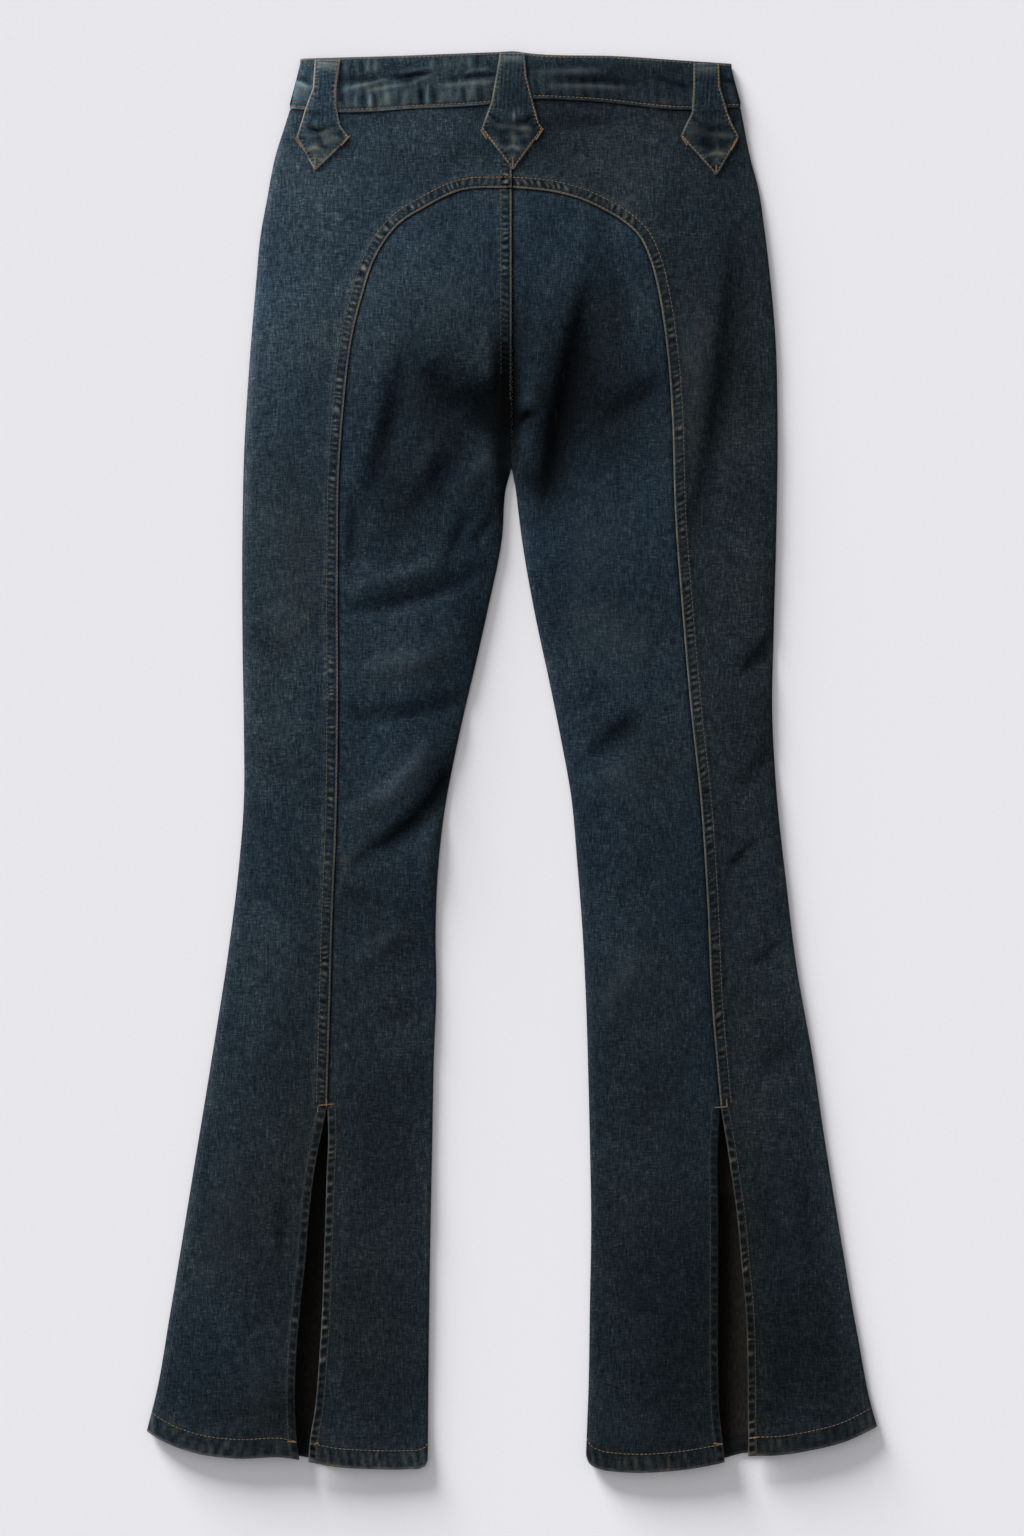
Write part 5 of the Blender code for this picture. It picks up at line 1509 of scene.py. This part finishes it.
def inset(path, distance):
    """A path moved in by a distance, to the left of its way along, with its corners mitred."""
    way = np.diff(path, axis=0)
    way /= np.linalg.norm(way, axis=1, keepdims=True)
    side = np.stack([way[:, 1], -way[:, 0]], axis=-1)
    before, after = np.concatenate([side[:1], side]), np.concatenate([side, side[-1:]])
    both = before + after
    return path + both * (2 * distance / (both**2).sum(-1, keepdims=True))


def loop_detail(name, x, down, seed):
    """A loop: a doubled strip with rounded pale edges, small puckers beside its stitches, a crease where
    the strip meets the tab, and on the tab a fold, a pleat down its middle and a pad above its tip. The
    crease is painted dark as shade, the puckers' hollows are darker (partly dye, partly painted shade), and
    the tab is darker than the strip."""
    rows, outline = LOOPS[name], loop_outline(name)
    near = from_path(np.stack([np.ravel(x), np.ravel(down)], axis=-1), outline)
    distance, length = (part.reshape(np.shape(x)) for part in near)
    distance = np.minimum(distance, down - outline[0, 1] + 0.3)
    top, shoulder, tip = rows["down"][0], rows["down"][-3], rows["down"][-1]
    aside = x - (rows["left"][-1] + rows["right"][-1]) / 2
    strip = fall(down, shoulder - 12, shoulder - 4)
    wave, beside = roping(length, LOOP_PITCH, seed), bell(distance - 2.6, 1.5)
    sag = 0.02 * aside**2 + 1.6 * wander(x / 5, seed + 10)
    crease = bell(down - shoulder + 6 + sag, 2.2) * ease(distance, 1, 4)
    crease = crease * (0.65 + 0.35 * wander(x / 7, seed + 11))
    pleat = bell(aside - 0.4, 1.0) * window(down, shoulder - 16, shoulder - 11, tip - 20, tip - 14)
    fold = bell(down - shoulder + 1 - 0.10 * aside, 2.0) * ease(distance, 2, 5)
    fold = fold * (0.5 + 0.5 * wander(x / 6, seed + 9))
    dome = np.hypot(aside, down - tip + 11)
    pad = bell(dome - 5.5, 2.2) * fall(down, tip - 16, tip - 12) + 0.4 * bell(dome, 3)
    streaks = strip * roping(x + 0.06 * down, 3.4, seed + 6)
    streaks = streaks * (0.6 + 0.4 * wander(down / 11 + x / 5, seed + 7))
    stain = dapple(x, 1.3 * down, 6.5, seed + 8)
    rise = (
        -0.65 * LOOP_THICKNESS * (1 - turn_over(distance, 1.1))
        - 0.22 * bell(distance - LOOP_ROW, 0.5)
        + 0.14 * wave * beside + 0.35 * ease(distance, 1.5, 6) + 0.10 * streaks
        - 0.9 * crease + 0.4 * fold + 0.6 * pad + 0.25 * pleat
        + 0.25 * dapple(x, down, 11, seed + 4) + 0.12 * stain * (1 - strip)
    )
    wear = (
        1.1 * bell(distance - 0.4, 0.7)
        + 0.6 * bell(down - top - 4, 3.5) * ease(distance, 1, 3)
        + 0.5 * crests(wave) * beside + 0.45 * crests(streaks) + 1.0 * pad + 0.6 * fold
        + (0.7 if name == "centre" else 0.25) * pleat
        + 0.6 * crests(stain - 0.1) * (1 - strip)
    )
    shade = (
        0.5 * hollows(wave) * beside + 1.2 * crease + 0.4 * hollows(streaks)
        + (0.36 + 0.8 * hollows(stain)) * (1 - strip)
    )
    return rise, wear, shade


def belt_loop(name, seed):
    """A strip sewn at the top of the waistband and by its arrow-shaped tab, with bar tacks."""
    rows = LOOPS[name]
    top, tip = rows["down"][0], rows["down"][-1]
    downs = top + odd(spaced(tip - top, fine_start=True, fine_end=True, step=0.8))
    left, right = np.interp(downs, rows["down"], rows["left"]), np.interp(downs, rows["down"], rows["right"])
    width = (right - left)[:, None]
    close = LOOP_COLUMNS * np.minimum(1, width / 9)
    middle = close[:, -1:] + (width - 2 * close[:, -1:]) * np.linspace(0, 1, 19)[1:-1]
    offsets = np.concatenate([close, middle, width - close[:, ::-1]], axis=1)
    points = np.stack([left[:, None] + offsets, np.broadcast_to(downs[:, None], offsets.shape)], axis=-1)
    x, down = points[..., 0], points[..., 1]
    rise, wear, shade = loop_detail(name, x, down, seed)
    outside = np.dstack([points, loop_base(name, x, down) + LOOP_THICKNESS + rise])
    under = points[::2, ::2]
    inside = np.dstack([under, loop_base(name, under[..., 0], under[..., 1])])
    finishes = [FINISHES["loop_denim"]] * 2
    made = shell(f"belt_loop_{name}_cloth", outside, inside, finishes, wear, shade, LOOP_WARMTH)
    declare(made, f"belt_loop_{name}")

    def height(x, down):
        return loop_base(name, x, down) + LOOP_THICKNESS + loop_detail(name, x, down, seed)[0]

    thread, line = Thread(), inset(loop_outline(name), LOOP_ROW)
    length = reach(line)
    fine = np.linspace(0, length[-1], int(length[-1] / 0.8))
    x, down = (np.interp(fine, length, line[:, axis]) for axis in (0, 1))
    thread.row(np.column_stack([x, down, height(x, down)]), **LOOP_THREAD, seed=seed)
    for x0, down0, x1, down1 in LOOP_TACKS[name]:
        thread.bar((x0, down0), (x1, down1), lambda x, down: height(x, down) + 0.1, 1.2)
    thread.make(f"stitches_loop_{name}")


# ---- The button ----


def button():
    """The shank button's cap: a profile turned about its axis, with a rolled rim round a flat middle."""
    profile = table(
        "radius height",
        (5.2, 0.35), (5.9, 0.2), (6.5, 0.02), (7.3, 0.0), (8.0, 0.25), (8.45, 0.8), (BUTTON_RADIUS, 1.3),
        (8.2, 1.8), (7.4, 2.15),
    )
    turn = np.linspace(0, 2 * np.pi, 48, endpoint=False)
    x = BUTTON_X + profile["radius"][:, None] * np.cos(turn)
    down = BUTTON_DOWN + profile["radius"][:, None] * np.sin(turn)
    heights = np.broadcast_to(profile["height"][:, None], x.shape)
    middles = [(BUTTON_X, BUTTON_DOWN, height) for height in (0.35, BUTTON_HEIGHT)]
    points = np.concatenate([np.dstack([x, down, heights]).reshape(-1, 3), middles])
    numbers = np.arange(x.size).reshape(x.shape)
    beside = np.roll(numbers, -1, axis=1)
    low = np.stack([numbers[0], beside[0], np.full(len(turn), x.size)], axis=-1)
    high = np.stack([beside[-1], numbers[-1], np.full(len(turn), x.size + 1)], axis=-1)
    faces = tube_of(numbers).tolist() + low.tolist() + high.tolist()
    made = add_mesh("button_cap", points, faces, [FINISHES["antique_brass"]], np.zeros(len(faces)), {})
    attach(made, "root")
    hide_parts("button")


# ---- The garment ----

SLIT_TACKS = {
    "left": ((-150.0, 820.6, -138.5, 819.6), (-150.8, 821.8, -150.8, 826.0), (-143.9, 816.5, -143.9, 821.0)),
    "right": ((158.0, 822.4, 167.3, 821.6), (166.8, 816, 167.2, 821.5)),
}
CENTRE_STITCHES = (93.5, 105)  # down, where the centre back seam shows between the loop's tip and the arch


def back_tacks():
    """The bar tacks over the tops of the slits, and the short rows above the arch."""
    tacks = Thread()
    for side, lines in SLIT_TACKS.items():

        def height(x, down, side=side):
            lapped = ease(SIGN[side] * (x - ARCH[side]["x"][-1]), -2.5, 0.5)
            return on_back(x, down, 0.15 + LAP_RISE * lapped)

        for x0, down0, x1, down1 in lines:
            tacks.bar((x0, down0), (x1, down1), height, 1.0, tone=0.55)
    down = np.linspace(*CENTRE_STITCHES, 12)
    for row in SEAM_ROWS:
        x = np.full_like(down, -row)
        tacks.row(np.column_stack([x, down, on_back(x, down, LAP_RISE)]), 0.5)
    tacks.make("stitches_back_tacks")


side_panel("left", warmth=0.40, worn=(0.55, 0.4), seed=100)
side_panel("right", warmth=0.58, worn=(0.8, 1.0), seed=200)
inner_panel("left", warmth=0.19, worn=(0.8, 1.1), seed=300)
inner_panel("right", warmth=0.10, worn=(0.1, 0.7), seed=400)
front_panel("left", warmth=0.4, seed=600)
front_panel("right", warmth=0.4, seed=620)
waistband_back(seed=500)
waistband_front("left", seed=540)
waistband_front("right", seed=540)
belt_loop("left", seed=700)
belt_loop("centre", seed=720)
belt_loop("right", seed=740)
button()
back_tacks()

# ---- The floor, the light and the camera ----

FLOOR_SIZE = 40.0  # metres
CAMERA_HEIGHT, FRAME_HEIGHT = 3.2, 1.198  # metres, for the photo's whole frame
CAMERA_Y = -0.0047
SENSOR = 36.0


def lay_floor():
    """A sweep of matt background paper, a very pale lavender grey, with no visible grain."""
    finish, tree, shader, place = new_finish("background_paper", 1.0, 0.0)
    fibres = add(tree, "ShaderNodeTexNoise", {}, {"Vector": place, "Scale": 400.0, "Detail": 2.0})
    colour = add(tree, "ShaderNodeValToRGB", {}, {"Fac": fibres}, stops=((0.3, "#e9e8ed"), (0.7, "#ebeaef")))
    tree.links.new(colour, shader.inputs["Base Color"])
    half = FLOOR_SIZE / 2
    mesh = bpy.data.meshes.new("floor")
    corners = [(-half, -half, 0), (half, -half, 0), (half, half, 0), (-half, half, 0)]
    mesh.from_pydata(corners, [], [(0, 1, 2, 3)])
    mesh.materials.append(finish)
    floor = add_object("floor", mesh)
    return floor


def add_sun(name, turn, elevation, angle, share, lit):
    """A distant lamp from the upper left: turn is how far its light runs down from across, share is the part
    of a level surface's light that it gives, and lit is the collection of what it lights."""
    turn, elevation = np.radians(turn), np.radians(elevation)
    lamp = bpy.data.lights.new(name, "SUN")
    lamp.angle = np.radians(angle)
    lamp.energy = share * np.pi / np.sin(elevation)
    flat, high = np.cos(elevation), np.sin(elevation)
    way = Vector((flat * np.cos(turn), -flat * np.sin(turn), -high))
    made = add_object(name, lamp)
    made.rotation_euler = way.to_track_quat("-Z", "Y").to_euler()
    made.light_linking.receiver_collection = lit


def light_room(share):
    """Even light from all round."""
    world = bpy.data.worlds.new("room")
    bpy.context.scene.world = world
    world.use_nodes = True
    background = world.node_tree.nodes["Background"]
    background.inputs["Color"].default_value = (1, 1, 1, 1)
    background.inputs["Strength"].default_value = share


def set_camera():
    """The photo's view: straight down, with its whole frame's height in view."""
    camera = bpy.data.cameras.new("camera")
    camera.sensor_width = SENSOR
    camera.lens = SENSOR * CAMERA_HEIGHT / FRAME_HEIGHT
    made = add_object("camera", camera)
    made.location = (0, CAMERA_Y, CAMERA_HEIGHT)
    bpy.context.scene.camera = made


cloth, paper = bpy.data.collections.new("cloth"), bpy.data.collections.new("paper")
for made in bpy.data.objects:
    if made.type == "MESH":
        cloth.objects.link(made)
paper.objects.link(lay_floor())
add_sun("key", turn=47, elevation=22, angle=36, share=0.53, lit=cloth)
add_sun("fill", turn=40, elevation=50, angle=100, share=0.12, lit=cloth)
# The next is as through a low window: it draws the soft shadow below the hems.
add_sun("low", turn=59, elevation=11, angle=22, share=0.50, lit=paper)
add_sun("high", turn=40, elevation=50, angle=100, share=0.14, lit=paper)
light_room(0.34)
set_camera()
bpy.context.scene.view_settings.view_transform = "Standard"
